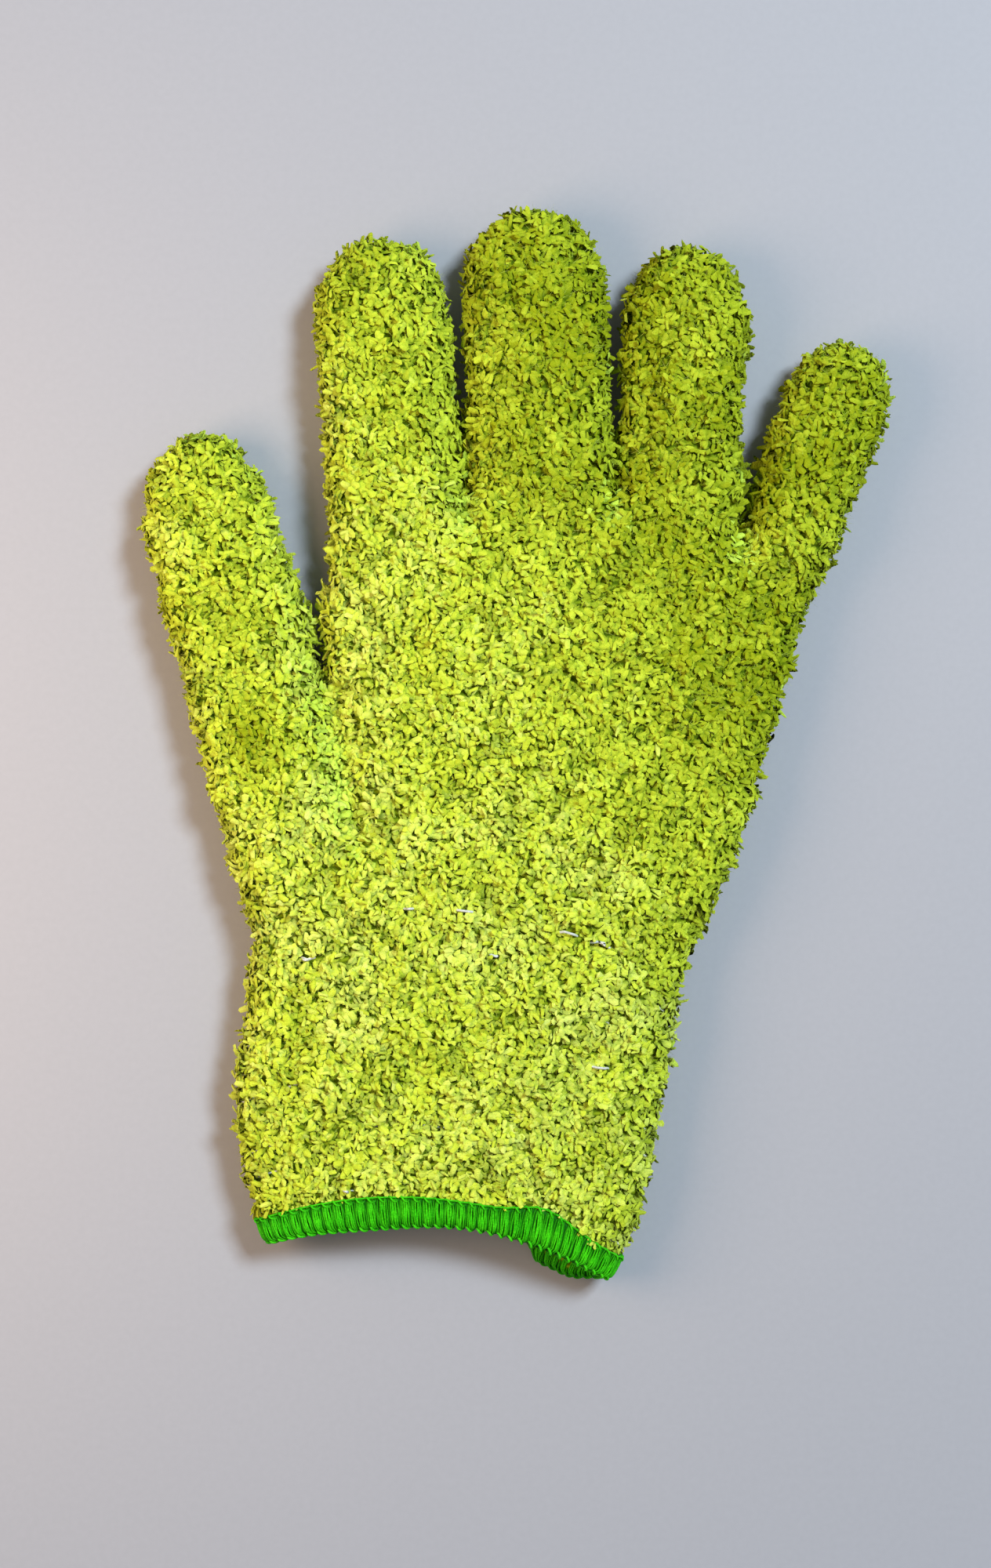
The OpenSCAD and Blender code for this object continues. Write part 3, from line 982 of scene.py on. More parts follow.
@dataclass
class Elastic:
    """White elastic laid into the wrist's courses, which arch like the mouth does."""

    form: GloveForm
    rig: Rig
    thread: ThreadFinish = ThreadFinish("white_elastic", (0.50, 0.53, 0.46), (0.86, 0.88, 0.84), 0.6)
    first: float = -36.5
    pitch: float = 6.0
    rounds: int = 11
    samples: int = 480
    sides: int = 5
    radius: float = 0.3
    buried: float = 2.9
    shown: float = -0.15
    eased: float = 3.0
    dives: float = 0.8
    clear: float = 0.85
    dashes: tuple = (
        Dash(-6.2, -36.9, 3.6, -0.12), Dash(-18.5, -36.4, 1.6, 0.05), Dash(16.7, -41.8, 2.2, -0.3),
        Dash(23.9, -43.9, 1.9, -0.25), Dash(-41.0, -43.2, 1.5, 0.05), Dash(-41.1, -47.8, 1.6, 0.0),
        Dash(0.0, -46.8, 0.6, -0.2), Dash(23.7, -71.7, 1.8, -0.1), Dash(-32.5, -99.0, 0.8, -0.2),
    )

    def shows_at(self, points: np.ndarray) -> np.ndarray:
        """Which points of the upper face lie under a dash."""
        found = np.zeros(len(points), bool)
        for dash in self.dashes:
            along, off = dash.away(points[:, 0], points[:, 1])
            found |= np.hypot(along, off) < self.clear
        return found & (points[:, 2] > self.form.palm_h / 2)

    def arch(self, x: np.ndarray) -> np.ndarray:
        """How far a course has dropped at x below its highest place."""
        form = self.form
        return form.mouth_r - np.sqrt(form.mouth_r**2 - (x - form.mouth_x) ** 2)

    def build(self) -> None:
        """Sweeps the thread along every round, out on top at the dashes and buried elsewhere."""
        form = self.form
        body = form.body
        turn = np.linspace(0, 2 * np.pi, self.samples)
        tops = self.first - self.pitch * np.arange(self.rounds)
        across, upward = oval(turn)
        y = tops[:, None] + 0 * turn
        depth = np.full(y.shape, self.buried)
        for _ in range(5):
            half_w = np.interp(y, body.s, body.half_w) - depth
            x = np.interp(y, body.s, body.middle) + half_w * across
            y = tops[:, None] - self.arch(x)
            depth = np.full(y.shape, self.buried)
            for dash in self.dashes:
                own = tops - self.arch(np.array(dash.x))
                nearest = np.arange(self.rounds) == np.abs(own - dash.y).argmin()
                along, off = dash.away(x, y)
                upper = nearest[:, None] & (upward > 0)[None]
                y = y - np.where(upper, off * np.exp(-((along / self.eased) ** 2)), 0)
                depth = mix(depth, self.shown, np.where(upper, 1 - ease(along / self.dives), 0))
        half_h = np.interp(y, body.s, body.half_h)
        z = half_h + (half_h - depth) * upward
        paths = np.stack([x, y, z], axis=-1)
        outward = unit(np.stack([np.cos(turn), 0 * turn, np.sin(turn)], axis=-1))
        surface = sweep(paths, np.broadcast_to(outward, paths.shape), self.radius, self.sides)
        thing = add_object("elastic", surface.mesh("elastic"))
        thing.data.materials.append(self.thread.material())
        self.rig.tie(thing, "wrist", "elastic_thread", ["elastic_thread"])
        LOG.info("elastic: %d rounds", self.rounds)


# ---- pile -----------------------------------------------------------------------------------


@dataclass(frozen=True)
class TuftSizes:
    """How long, wide and thick a tuft is, how it leans at root and tip and how it curls aside."""

    length: tuple = (2.3, 4.2)
    width: tuple = (0.6, 1.5)
    thickness: tuple = (0.4, 0.75)
    root_lean: tuple = (0.0, 40.0)
    tip_lean: tuple = (70.0, 135.0)
    curl: float = 85.0
    rough: float = 0.4


def bake_spots(tint: np.ndarray, height: np.ndarray, aside: np.ndarray) -> np.ndarray:
    """Places on the bake's map, which runs along the tint one way and the height the other.

    Faces that share a place on it then share a colour. A small step aside gives each face an area.
    """
    return np.stack([0.01 + 0.98 * tint + aside, 0.02 + 0.96 * height], axis=1)


@dataclass
class TuftBatch:
    """Many tufts of the same build, point by point: the root, three rings of four, the tip.

    A ring's corners are its right edge, its top, its left edge and its underside. Every tuft has
    a tint, a share of the light that reaches it, painted into its colour as shade, and a direction
    to shade by at each point.
    """

    points: np.ndarray
    tint: np.ndarray
    lit: np.ndarray
    shading: np.ndarray

    ALONG = np.array([0.0, 0.2, 0.55, 0.88, 1.0])
    WIDTHS = np.array([0.75, 1.0, 0.85])
    RINGS = 3
    RING = 4
    # Painted shade: the share of a tuft's colour kept at each ring's corners and at the tip, less at the
    # root and the edges.
    RING_HEIGHTS = np.array([[0.1, 0.35, 0.1, 0.1], [0.66, 0.92, 0.66, 0.4], [0.88, 1.0, 0.88, 0.75]])
    TIP_HEIGHT = 0.9
    ASIDE = np.array([0.006, 0.0, -0.006, 0.0])

    def faces(self) -> list[np.ndarray]:
        """The quads between rings and the triangles to the root and to the tip."""
        n, each = self.points.shape[:2]
        first = np.arange(n)[:, None, None] * each
        k = np.arange(self.RING)
        m = np.roll(k, -1)
        root = np.stack([np.zeros_like(k), 1 + m, 1 + k], axis=1)
        last = 1 + (self.RINGS - 1) * self.RING
        tip = np.stack([np.full_like(k, each - 1), last + k, last + m], axis=1)
        rings = [
            1 + r * self.RING + np.stack([k, m, self.RING + m, self.RING + k], axis=1)
            for r in range(self.RINGS - 1)
        ]
        sides, ends = np.concatenate(rings), np.concatenate([root, tip])
        return [(first + sides).reshape(-1, 4), (first + ends).reshape(-1, 3)]

    def surface(self) -> Surface:
        """All tufts as one surface, with tint and height at its points and the bake's map.

        The height is 0 at the root and 1 on top of the tip, falls towards a tuft's edges and is
        less on a tuft that stands low between clumps: painted shade that darkens the colour there.
        """
        n, each = self.points.shape[:2]
        height = np.tile(np.concatenate([[0.0], self.RING_HEIGHTS.ravel(), [self.TIP_HEIGHT]]), n)
        height *= np.repeat(self.lit, each)
        aside = np.tile(np.concatenate([[0.0], np.tile(self.ASIDE, self.RINGS), [0.0]]), n)
        tint = np.repeat(self.tint, each)
        points, shading = self.points.reshape(-1, 3), self.shading.reshape(-1, 3)
        values = {"tint": tint, "height": height}
        return Surface(points, self.faces(), values, bake_spots(tint, height, aside), shading)


@dataclass
class Fuzz:
    """Single fibres that stand out of the pile, as three-sided needles."""

    share: float = 0.4
    length: tuple = (2.5, 3.9)
    radius: float = 0.055
    lean: float = 50.0
    tint: tuple = (0.5, 0.74)
    clear_of_next: float = 1.3
    stands_above: float = 0.9

    CORNERS = np.array([[0, 1, 3], [1, 2, 3], [2, 0, 3], [2, 1, 0]])
    # Painted shade: a fibre's base corners get less of its colour than its tip.
    HEIGHTS = (0.55, 0.6, 0.65, 1.0)
    ASIDE = (0.004, -0.004, 0.0, 0.0)

    def surface(self, base: np.ndarray, normal: np.ndarray, rng: np.random.Generator) -> Surface:
        """Needles on some of the places, each leaning off the normal in its own direction."""
        chosen = rng.random(len(base)) < self.share
        base, normal = base[chosen], normal[chosen]
        n = len(base)
        aside = unit(np.cross(normal, rng.normal(size=(n, 3))))
        lean = np.radians(rng.uniform(0, self.lean, n))[:, None]
        ahead = np.cos(lean) * normal + np.sin(lean) * aside
        side = unit(np.cross(ahead, aside + 0.01))
        other = np.cross(ahead, side)
        turn = np.arange(3) * 2 * np.pi / 3
        ring = side[:, None] * np.cos(turn)[:, None] + other[:, None] * np.sin(turn)[:, None]
        tip = base + ahead * rng.uniform(*self.length, n)[:, None]
        points = np.concatenate([base[:, None] + self.radius * ring, tip[:, None]], axis=1)
        faces = (np.arange(n)[:, None, None] * 4 + self.CORNERS).reshape(-1, 3)
        tint = np.repeat(rng.uniform(*self.tint, n), 4)
        height = np.tile(self.HEIGHTS, n)
        spots = bake_spots(tint, height, np.tile(self.ASIDE, n))
        values = {"tint": tint, "height": height}
        shading = np.repeat(unit(normal), 4, axis=0)
        return Surface(points.reshape(-1, 3), [faces], values, spots, shading)


@dataclass(frozen=True)
class PileTints:
    """How the tint varies over the glove: olive at 0, bright at 0.75 and fresh green past 0.8."""

    middle: float = 0.5
    chance: float = 0.065
    patch: float = 0.12
    patch_mm: float = 15.0
    fleck: float = 0.11
    fleck_mm: float = 4.0
    # Painted shade: the tint falls towards the little finger, where pile seen against its lie looks
    # darker.
    nap: float = 0.38
    nap_shade_slope: float = 0.6
    nap_shade_from: float = -18.0
    nap_shade_mm: float = 100.0
    # Painted shade at the thumb's root.
    hollow_shade: float = 0.42
    hollow_shade_at: tuple = (-2.4, -16.0)
    hollow_shade_reach: tuple = (6.5, 10.0)
    # Painted shade over the thumb.
    thumb: float = 0.14
    thumb_shade_half_w: float = 14.0
    thumb_mm: float = 10.0
    brightest: float = 0.74
    fresh: float = 0.9
    fresh_chance: float = 0.03
    fresh_range: tuple = (0.83, 1.0)
    # Painted cool light: tufts beside a fold or facing sideways often take the fresh green.
    painted_light_by_fold: float = 1.1
    painted_light_on_side: float = 0.15
    side_facing: float = 0.35

    def at(self, skin: Skin, base: np.ndarray, normal: np.ndarray, rng: np.random.Generator) -> np.ndarray:
        """A tint for each place on the skin.

        Patches of two sizes and chance vary it. Painted shade lowers it towards the little finger,
        where pile seen against its lie looks darker, over the thumb and at the thumb's root, and
        tufts beside a fold or down on a side are often fresh green, painted cool light.
        """
        n = len(base)
        patches = SmoothNoise(SEED + 3).at(base, self.patch_mm)
        flecks = SmoothNoise(SEED + 4).at(base, self.fleck_mm)
        # Painted shade towards the little finger.
        nap = ease((base[:, 0] + self.nap_shade_slope * base[:, 1] - self.nap_shade_from) / self.nap_shade_mm)
        aside, ahead = skin.form.by_name["thumb"].tube.along(base)
        # Painted shade at the thumb's root.
        hollow_shade = bell(aside - self.hollow_shade_at[0], self.hollow_shade_reach[0])
        hollow_shade *= bell(ahead - self.hollow_shade_at[1], self.hollow_shade_reach[1])
        # Painted shade over the thumb.
        thumb = ease(ahead / self.thumb_mm) * (np.abs(aside) < self.thumb_shade_half_w)
        tint = self.middle + self.patch * patches + self.fleck * flecks + rng.normal(0, self.chance, n)
        tint -= self.nap * nap + self.hollow_shade * hollow_shade + self.thumb * thumb
        # Painted cool light: fresh green beside folds and on the sides.
        share = self.painted_light_by_fold * skin.near_fold(base)
        share += self.painted_light_on_side * (normal[:, 2] < self.side_facing)
        fresh = np.clip(self.fresh + rng.normal(0, self.fresh_chance, n), *self.fresh_range)
        return np.where(rng.random(n) < share, fresh, np.clip(tint, 0, self.brightest))


@dataclass
class Pile:
    """The plush: bent, tapering tufts that stand on the knit and curl over each other."""

    skin: Skin
    rig: Rig
    elastic: Elastic
    finish: ChenilleFinish = ChenilleFinish()
    sizes: TuftSizes = TuftSizes()
    tints: PileTints = PileTints()
    fuzz: Fuzz = field(default_factory=Fuzz)
    area: float = 0.745
    thinner_below: float = 1.45
    crumple: float = 0.26
    crumple_mm: float = 0.95
    upright: float = 0.14
    upright_lean: float = 0.4
    combed: float = 0.55
    combed_mm: float = 3.5
    combed_turns: float = 1.5
    heading_chance: float = 0.8
    clumping: float = 1.1
    clump_middle: float = 0.55
    clump_mm: float = 1.9
    clump_size: tuple = (0.78, 1.1)
    # Painted shade: tufts low between clumps keep this smaller share of their colour.
    clump_light: tuple = (0.55, 1.0)
    sunk: float = 0.3
    own_shading: float = 0.4
    most: int = 7200
    band: float = 5.2
    band_fade: float = 3.0
    band_size: float = 0.55
    fold_shorter: float = 0.12
    gap_longer: float = 0.6
    lining_reach: float = 34.0
    lining_share: float = 0.3
    lining_size: float = 0.5

    def __post_init__(self) -> None:
        """Starts the chance that shapes the pile and the noise that crumples it."""
        self.rng = np.random.default_rng(SEED)
        self.wrinkles = [SmoothNoise(SEED + 20 + axis) for axis in range(3)]

    def between(self, low_high: tuple, count: int) -> np.ndarray:
        """Random numbers between two sizes."""
        return self.rng.uniform(*low_high, count)

    def sites(self) -> tuple[np.ndarray, np.ndarray]:
        """Where tufts stand: every face of the skin gets tufts in proportion to its area.

        The whole part of its share is certain and the rest is left to chance, and each tuft
        stands on its own strip of the face.
        """
        quads, points = self.skin.quads, self.skin.points
        first = points[quads[:, 2]] - points[quads[:, 0]]
        second = points[quads[:, 3]] - points[quads[:, 1]]
        area = np.linalg.norm(np.cross(first, second), axis=1) / 2
        spread = mix(1.0, self.thinner_below, self.skin.normal[quads[:, 0], 2] < -0.5)
        count = np.floor(area / (self.area * spread) + self.rng.random(len(area))).astype(int)
        face = np.repeat(np.arange(len(quads)), count)
        strip = np.arange(len(face)) - np.repeat(np.cumsum(count) - count, count)
        u = (strip + self.rng.random(len(face))) / np.repeat(count, count)
        v = self.rng.random(len(face))
        share = np.stack([(1 - u) * (1 - v), u * (1 - v), u * v, (1 - u) * v], axis=-1)
        base = np.einsum("pc,pcx->px", share, points[quads[face]])
        normal = np.einsum("pc,pcx->px", share, self.skin.normal[quads[face]])
        return base, unit(normal)

    def tufts(self, base: np.ndarray, normal: np.ndarray, scale: np.ndarray) -> TuftBatch:
        """Bent tufts on the given places.

        Each tuft's spine leaves the knit near the normal and bends over towards its own side, the
        lean growing evenly along it while its heading curls. Flat rings of corners round the
        spine, widest in the middle and roughened by chance, are closed by a point at each end.

        Args:
            base: (n, 3) places on the knit.
            normal: (n, 3) directions away from it.
            scale: (n,) sizes against a full tuft.

        Returns:
            The tufts with a tint for each.
        """
        n, sizes, along = len(base), self.sizes, TuftBatch.ALONG
        standing = self.rng.random(n) < self.upright
        combed = SmoothNoise(SEED + 2).at(base, self.combed_mm) * self.combed_turns * 2 * np.pi
        combed += self.rng.normal(0, self.heading_chance, n)
        is_combed = self.rng.random(n) < self.combed
        heading = np.where(is_combed, combed, self.rng.uniform(-np.pi, np.pi, n))
        curl = np.radians(self.rng.normal(0, sizes.curl, n))
        lean0 = np.radians(self.between(sizes.root_lean, n))
        lean1 = np.radians(self.between(sizes.tip_lean, n)) * np.where(standing, self.upright_lean, 1.0)
        clump = SmoothNoise(SEED + 5).at(base, self.clump_mm)
        clump = ease(self.clump_middle + self.clumping * clump)
        scale = scale * mix(*self.clump_size, clump)
        length = self.between(sizes.length, n) * scale
        side = unit(np.cross(normal, np.array([0.31, 0.77, 0.55])))
        other = np.cross(normal, side)

        def directions(at: np.ndarray) -> tuple[np.ndarray, np.ndarray, np.ndarray]:
            """The spine's direction, the way across it and its top, at shares of its length."""
            turn = heading[:, None] + curl[:, None] * at
            lean = mix(lean0[:, None], lean1[:, None], at)[..., None]
            lie = np.cos(turn)[..., None] * side[:, None] + np.sin(turn)[..., None] * other[:, None]
            up = normal[:, None]
            return (np.cos(lean) * up + np.sin(lean) * lie, np.cross(up, lie),
                    np.sin(lean) * up - np.cos(lean) * lie)

        ahead = directions((along[1:] + along[:-1]) / 2)[0]
        steps = ahead * (np.diff(along) * length[:, None])[..., None]
        spine = np.concatenate([np.zeros((n, 1, 3)), np.cumsum(steps, axis=1)], axis=1)
        spine += (base - self.sunk * normal)[:, None]
        _, across, top = directions(along[1:4])
        rough = 1 + self.rng.uniform(-sizes.rough, sizes.rough, (n, TuftBatch.RINGS, TuftBatch.RING))
        half_w = self.between(sizes.width, n)[:, None] * scale[:, None] * TuftBatch.WIDTHS / 2
        half_t = self.between(sizes.thickness, n)[:, None] * scale[:, None] * TuftBatch.WIDTHS / 2
        wide = (half_w[..., None] * rough * np.array([1, 0, -1, 0]))[..., None] * across[:, :, None]
        thick = (half_t[..., None] * rough * np.array([0, 1, 0, -1]))[..., None] * top[:, :, None]
        rings = spine[:, 1:4, None] + wide + thick
        points = np.concatenate([spine[:, :1], rings.reshape(n, -1, 3), spine[:, 4:]], axis=1)
        for axis in range(3):
            points[..., axis] += self.crumple * self.wrinkles[axis].at(
                points.reshape(-1, 3), self.crumple_mm
            ).reshape(n, -1)
        own = np.stack([across, top, -across, -top], axis=2).reshape(n, -1, 3)
        own = np.concatenate([-normal[:, None], own, ahead[:, -1:]], axis=1)
        shading = unit(self.own_shading * own + normal[:, None])
        tint = self.tints.at(self.skin, base, normal, self.rng)
        # The clump's share of light paints shade on tufts low between clumps.
        return TuftBatch(points, tint, mix(*self.clump_light, clump), shading)

    def build(self) -> None:
        """Makes the outer pile and the short lining inside the cuff, piece by piece."""
        material = self.finish.material()
        base, normal = self.sites()
        from_edge = self.skin.form.from_edge(base)
        outer = (from_edge > self.band) & ~self.elastic.shows_at(base)
        scale = mix(self.band_size, 1.0, ease((from_edge - self.band) / self.band_fade))
        beside_gap = self.skin.near_gap(base) * (1 - np.abs(normal[:, 2]))
        scale *= 1 - self.fold_shorter * self.skin.near_fold(base) + self.gap_longer * beside_gap
        self.lay("pile", base[outer], normal[outer], scale[outer], material)
        chosen = self.rng.random(len(base)) < self.lining_share
        lined = outer & (from_edge < self.lining_reach) & chosen
        inside = base - normal * self.skin.ground
        short = np.full(lined.sum(), self.lining_size)
        self.lay("lining", inside[lined], -normal[lined], short, material)

    def add(self, name: str, region: str, surface: Surface, material: bpy.types.Material) -> None:
        """Makes one piece of a region's pile and places it with the rig."""
        thing = add_object(name, surface.mesh(name))
        thing.data.materials.append(material)
        self.rig.tie(thing, region, "chenille_knit")

    def lay(self, kind: str, base: np.ndarray, normal: np.ndarray, scale: np.ndarray,
            material: bpy.types.Material) -> None:
        """Splits tufts by region and by number, makes the pieces and places them with the rig."""
        names = self.skin.regions(base)
        for region in dict.fromkeys(names):
            mine = np.flatnonzero(names == region)
            parts = math.ceil(len(mine) / self.most)
            mine = mine[np.argsort(base[mine, 1], kind="stable")]
            for part, chosen in enumerate(np.array_split(mine, parts)):
                name = f"{kind}_{region}" + (f"_{part + 1}" if parts > 1 else "")
                surface = self.tufts(base[chosen], normal[chosen], scale[chosen]).surface()
                self.add(name, region, surface, material)
                LOG.info("%s: %d tufts", name, len(chosen))
            if kind == "pile":
                clear = self.skin.form.apart(base[mine]) > self.fuzz.clear_of_next
                full = mine[(scale[mine] > self.fuzz.stands_above) & clear]
                surface = self.fuzz.surface(base[full], normal[full], self.rng)
                self.add(f"fuzz_{region}", region, surface, material)


# ---- overlocked edge ------------------------------------------------------------------------


@dataclass
class Mouth:
    """Places round the open edge of the cuff, by arc length, distance from the edge and depth."""

    form: GloveForm
    samples: int = 3000

    def __post_init__(self) -> None:
        """Measures the way round the mouth on the middle of the band."""
        turn = np.linspace(0, 2 * np.pi, self.samples + 1)
        line = self.at_angle(turn, np.full(len(turn), 2.7), np.full(len(turn), 1.6))
        steps = np.linalg.norm(np.diff(line, axis=0), axis=1)
        self.turn = turn
        self.run = np.concatenate([[0], np.cumsum(steps)])
        self.length = self.run[-1]

    def at_angle(self, turn: np.ndarray, inward: np.ndarray, depth: np.ndarray) -> np.ndarray:
        """Points by the angle round the oval of the sleeve.

        The point lies a depth below the sleeve's outer surface and a distance inward from the
        arch, whose circle is met by working out the sideways place and the distance in turns.
        """
        form = self.form
        across, upward = oval(turn)
        z = form.palm_h / 2 + (form.palm_h / 2 - depth) * upward
        y = np.full(np.shape(turn), form.arch_y + form.mouth_r)
        for _ in range(8):
            middle, width = form.sleeve(y)
            x = middle + (width / 2 - depth) * across
            radius = form.mouth_r + inward * form.band_stretch(x, z) - form.hang(x, z)
            y = form.arch_y + np.sqrt(np.maximum(radius**2 - (x - form.mouth_x) ** 2, 1.0))
        return np.stack([x, y, z], axis=-1)

    def at(self, run: np.ndarray, inward: np.ndarray, depth: np.ndarray) -> np.ndarray:
        """Points by the arc length round the mouth."""
        turn = np.interp(run % self.length, self.run, self.turn)
        run, inward, depth = np.broadcast_arrays(run, inward, depth)
        return self.at_angle(np.broadcast_to(turn, run.shape), inward, depth)


class Side(Enum):
    """Which face of the cuff a looper thread lies on."""

    OUTER = 1
    INNER = -1


@dataclass
class Overlock:
    """The three-thread overlock: two loopers that meet on the cut edge and the needle thread."""

    form: GloveForm
    rig: Rig
    green: ThreadFinish = ThreadFinish(
        "looper_thread", (0.012, 0.38, 0.002), (0.10, 0.86, 0.01), 0.55, shaded_pits=True
    )
    band: float = 5.5
    inset: float = 0.9
    wall: float = 4.5
    pitch: float = 2.4
    strands: int = 9
    strand_r: float = 0.175
    bulge: float = 0.5
    slant: float = 0.16
    run_chance: float = 0.045
    lift_chance: float = 0.06
    end_chance: float = 0.12
    round_edge: float = 1.3
    flat_share: float = 0.74

    def __post_init__(self) -> None:
        """Counts the stitches that fit round the mouth."""
        self.mouth = Mouth(self.form)
        self.count = round(self.mouth.length / self.pitch)
        self.step = self.mouth.length / self.count
        self.middle = (self.inset + self.wall) / 2
        self.rng = np.random.default_rng(SEED + 7)

    def profile(self, q: np.ndarray, side: Side, lift: np.ndarray) -> tuple[np.ndarray, np.ndarray]:
        """The way across the band, from the needle line at q 0 to the cut edge at q 1.

        The first part is straight, and the last turns round the edge as a quarter of an oval.

        Args:
            q: share of the way.
            side: the face of the cuff.
            lift: how far above the band the thread lies.

        Returns:
            The distance inward from the edge and the depth below the cuff's outer surface.
        """
        flat = np.clip(q / self.flat_share, 0, 1)
        turn = np.clip((q - self.flat_share) / (1 - self.flat_share), 0, 1) * np.pi / 2
        inward = mix(self.band, self.round_edge, flat) - (self.round_edge + lift) * np.sin(turn)
        half = (self.wall - self.inset) / 2 + lift
        depth = self.middle - side.value * half * np.cos(turn)
        return inward, depth

    def strands_on(self, side: Side) -> Surface:
        """The looper's filaments, one bulging bundle to a stitch, gathered in at its two ends."""
        steps = 11
        q = np.linspace(0, 1, steps)
        stitch = np.arange(self.count)[:, None, None]
        place = ((np.arange(self.strands) + 0.5) / self.strands - 0.5)[None, :, None]
        middle = np.sin(np.pi * np.clip(q * 1.02, 0, 1)) ** 0.6
        each = (self.count, self.strands, 1)
        slant = self.slant * np.where(np.arange(self.strands) % 2, 1, -1)[None, :, None] * (q - 0.5)
        chance = self.rng.normal(0, self.run_chance, each)
        run = (stitch + 0.5 + place * (0.5 + 0.5 * middle) + slant + chance) * self.step
        bulge = self.bulge * np.cos(np.pi * place) - 0.15
        bulge = bulge + self.rng.normal(0, self.lift_chance, each)
        lift = bulge * (0.25 + 0.75 * middle) + 0 * run
        inward, depth = self.profile(q + 0 * run, side, lift)
        inward = inward + self.rng.normal(0, self.end_chance, each) * (1 - q)
        paths = self.mouth.at(run, inward, depth).reshape(-1, steps, 3)
        # Painted shade: filaments darken towards their bundle's edges and gathered ends.
        lit_share = (0.45 + 0.55 * np.cos(np.pi * place)) * (0.35 + 0.65 * middle) + 0 * run
        return self.threads(paths, self.strand_r, 4, lit_share.reshape(-1, steps))

    def threads(self, paths: np.ndarray, radius: float, sides: int, height: np.ndarray) -> Surface:
        """Round threads whose rings stand square to the paths; a height at each ring sets painted shade.
        """
        along = np.gradient(paths, axis=1)
        aside = np.cross(along, np.array([0.13, 0.31, 1.0]))
        surface = sweep(paths, unit(aside), radius, sides)
        surface.values["height"] = np.repeat(np.broadcast_to(height, paths.shape[:2]).ravel(), sides)
        return surface

    def coil(self, inward: float, depth: float, reach: tuple[float, float], radius: float,
             phase: float) -> Surface:
        """A thread that winds once per stitch round a line along the edge."""
        t = np.linspace(0, self.count, self.count * 14 + 1)
        turn = 2 * np.pi * t + phase
        run = t * self.step
        path = self.mouth.at(run, inward + reach[0] * np.cos(turn), depth + reach[1] * np.sin(turn))
        # Painted shade: the coil darkens where it winds deeper.
        return self.threads(path[None], radius, 6, 0.65 - 0.25 * np.sin(turn)[None])

    def bed(self, side: Side) -> Surface:
        """The closely laid thread under the filaments, from the needle line to the edge.

        It's a closed ring: out along its face, back just below it, and round the whole mouth.
        """
        q = np.linspace(0, 1, 11)
        lift = np.repeat([-0.12, -0.4], len(q))
        inward, depth = self.profile(np.concatenate([q, q[::-1]]), side, lift)
        run = np.linspace(0, self.mouth.length, 4 * self.count + 1)
        points = self.mouth.at(run[:-1, None], inward[None], depth[None]).reshape(-1, 3)
        faces = grid_faces(len(run), len(lift), True) % len(points)
        faces = faces if side is Side.INNER else faces[:, ::-1]
        # Painted shade: the bed under the filaments is nearly the full dark colour.
        return Surface(points, [faces], {"height": np.full(len(points), 0.05)})

    def build(self) -> None:
        """Makes both loopers and the needle thread."""
        material = self.green.material()
        outer = [
            self.bed(Side.OUTER),
            self.strands_on(Side.OUTER),
            self.coil(0.1, self.middle - 0.9, (0.42, 0.7), 0.27, 0.0),
            self.coil(self.band - 0.1, self.inset - 0.1, (0.5, 0.45), 0.22, 1.2),
        ]
        inner = [
            self.bed(Side.INNER),
            self.strands_on(Side.INNER),
            self.coil(0.1, self.middle + 0.9, (0.42, 0.7), 0.27, 2.0),
        ]
        t = np.linspace(0, self.count, self.count * 10 + 1)
        dip = self.inset + 0.15 - 0.5 * np.abs(np.sin(np.pi * t))
        line = self.mouth.at(t * self.step, np.full(len(t), self.band + 0.25), dip)
        # Painted shade: the needle thread is a fifth of the way to the dark colour.
        needle = [self.threads(line[None], 0.2, 6, 0.8)]
        for name, parts in (("outer_looper", outer), ("inner_looper", inner), ("needle_thread", needle)):
            surface = Surface.joined(parts)
            thing = add_object(f"overlock_{name}", surface.mesh(f"overlock_{name}"))
            thing.data.materials.append(material)
            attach(thing, "wrist")
            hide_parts(f"binding_{name}")
            LOG.info("overlock_%s: %d faces", name, sum(len(f) for f in surface.faces))


# ---- scene ----------------------------------------------------------------------------------


@dataclass(frozen=True)
class Lamp:
    """A square area lamp aimed at the glove."""

    name: str
    place: tuple
    size: float
    watts: float
    colour: tuple

    def build(self) -> None:
        """Adds the lamp to the scene."""
        data = bpy.data.lights.new(self.name, "AREA")
        data.size, data.energy, data.color = self.size * MM, self.watts, self.colour
        lamp = bpy.data.objects.new(self.name, data)
        lamp.location = Vector(self.place) * MM
        lamp.rotation_euler = (-lamp.location).to_track_quat("-Z", "Y").to_euler()
        bpy.context.scene.collection.objects.link(lamp)


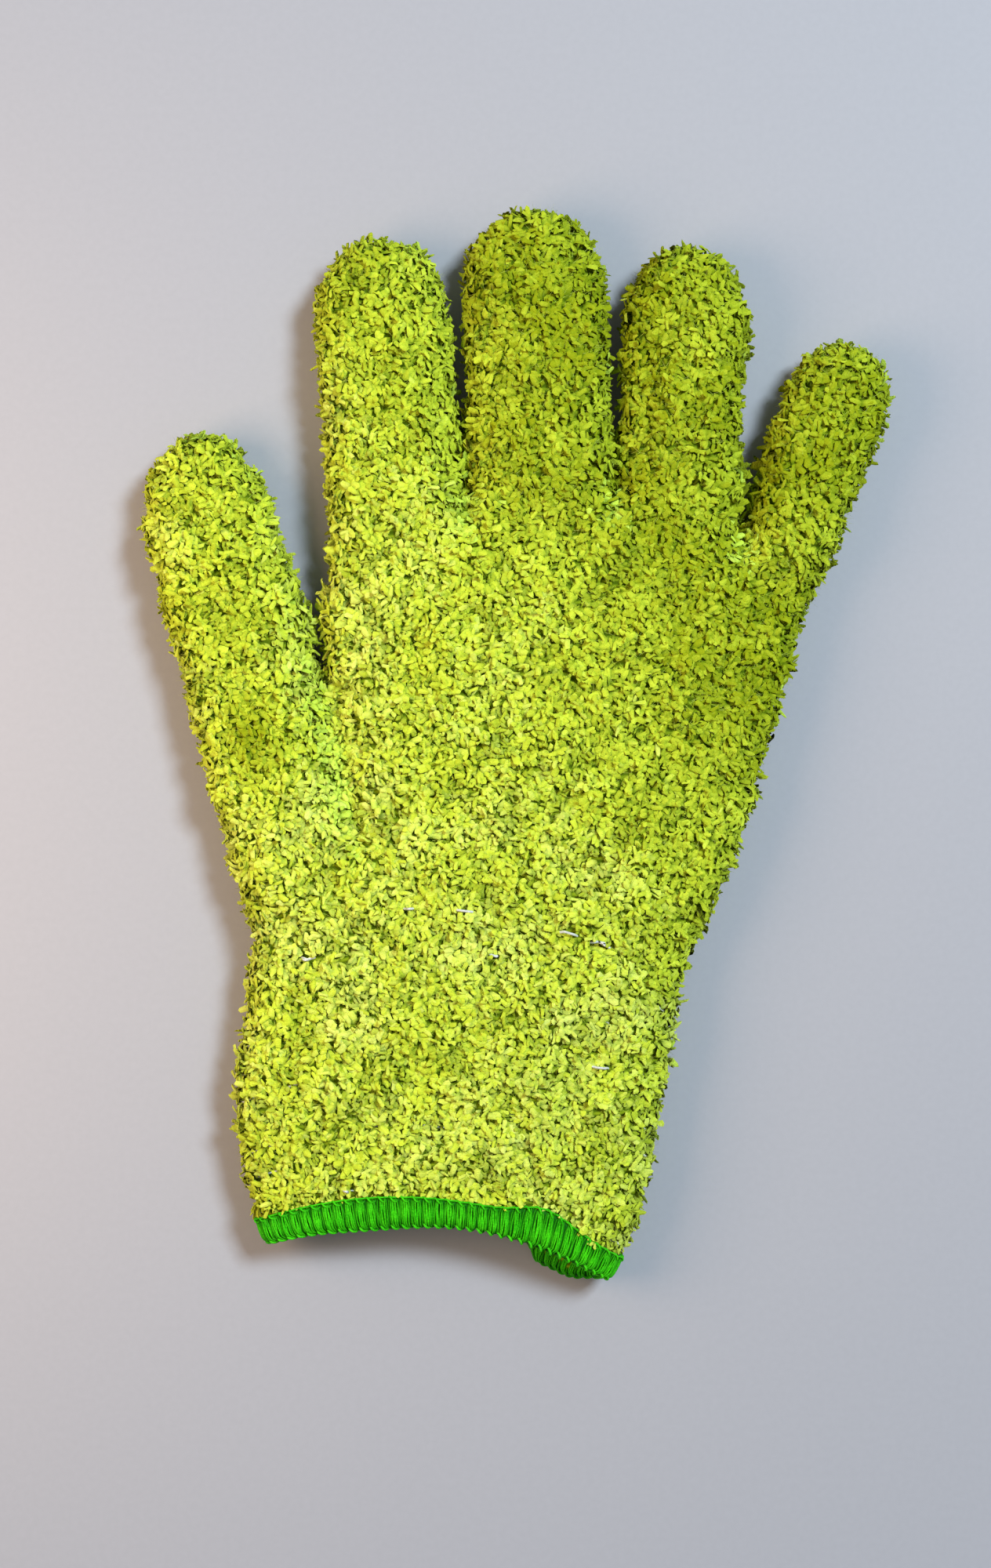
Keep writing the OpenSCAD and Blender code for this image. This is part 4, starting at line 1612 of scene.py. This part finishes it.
@dataclass
class Studio:
    """Camera straight above, plain pale floor and soft light from the right."""

    view_w: float = 222.2
    aspect: float = 2000 / 1264
    height: float = 620.0
    focus: float = 9.0
    centre: tuple = (0.35, -8.8)
    floor_half: float = 1500.0
    window: Lamp = Lamp("window", (760, 620, 1420), 420, 32.0, (0.74, 0.88, 1.0))
    warm: Lamp = Lamp("warm", (-290, 0, 260), 260, 1.15, (1.0, 0.70, 0.47))
    surround: tuple = (0.95, 0.95, 1.0, 1)
    surround_strength: float = 0.22

    def camera(self) -> None:
        """A camera that looks straight down with +Y upwards."""
        data = bpy.data.cameras.new("camera")
        data.sensor_fit, data.sensor_height = "VERTICAL", 36.0
        data.lens = data.sensor_height * (self.height - self.focus) / (self.view_w * self.aspect)
        data.clip_start, data.clip_end = 0.01, 10.0
        camera = bpy.data.objects.new("camera", data)
        camera.location = (self.centre[0] * MM, self.centre[1] * MM, self.height * MM)
        bpy.context.scene.collection.objects.link(camera)
        bpy.context.scene.camera = camera

    def floor(self) -> None:
        """A wide plane at the height that the glove rests on."""
        side = self.floor_half
        corners = np.array([[-side, -side, 0], [side, -side, 0], [side, side, 0], [-side, side, 0]])
        thing = add_object("floor", Surface(corners, [np.array([[0, 1, 2, 3]])]).mesh("floor"))
        thing.data.materials.append(FloorFinish().material())

    def light(self) -> None:
        """A cool window-like lamp at the upper right, a warm one at the left, a dim surround."""
        self.window.build()
        self.warm.build()
        world = bpy.data.worlds.new("surround")
        world.use_nodes = True
        background = world.node_tree.nodes["Background"]
        background.inputs[0].default_value = self.surround
        background.inputs[1].default_value = self.surround_strength
        bpy.context.scene.world = world


def main() -> None:
    """Builds the studio and then the glove, from its ground outwards."""
    logging.basicConfig(level=logging.INFO, format="%(message)s")
    bpy.context.scene.view_settings.view_transform = "Standard"
    studio = Studio()
    studio.camera()
    studio.floor()
    studio.light()
    form = GloveForm()
    rig = Rig(form)
    skin = Skin(form)
    LOG.info("skin: %d points", len(skin.points))
    KnittedGround(skin, rig).build()
    elastic = Elastic(form, rig)
    Pile(skin, rig, elastic).build()
    elastic.build()
    Overlock(form, rig).build()


if __name__ == "__main__":
    main()
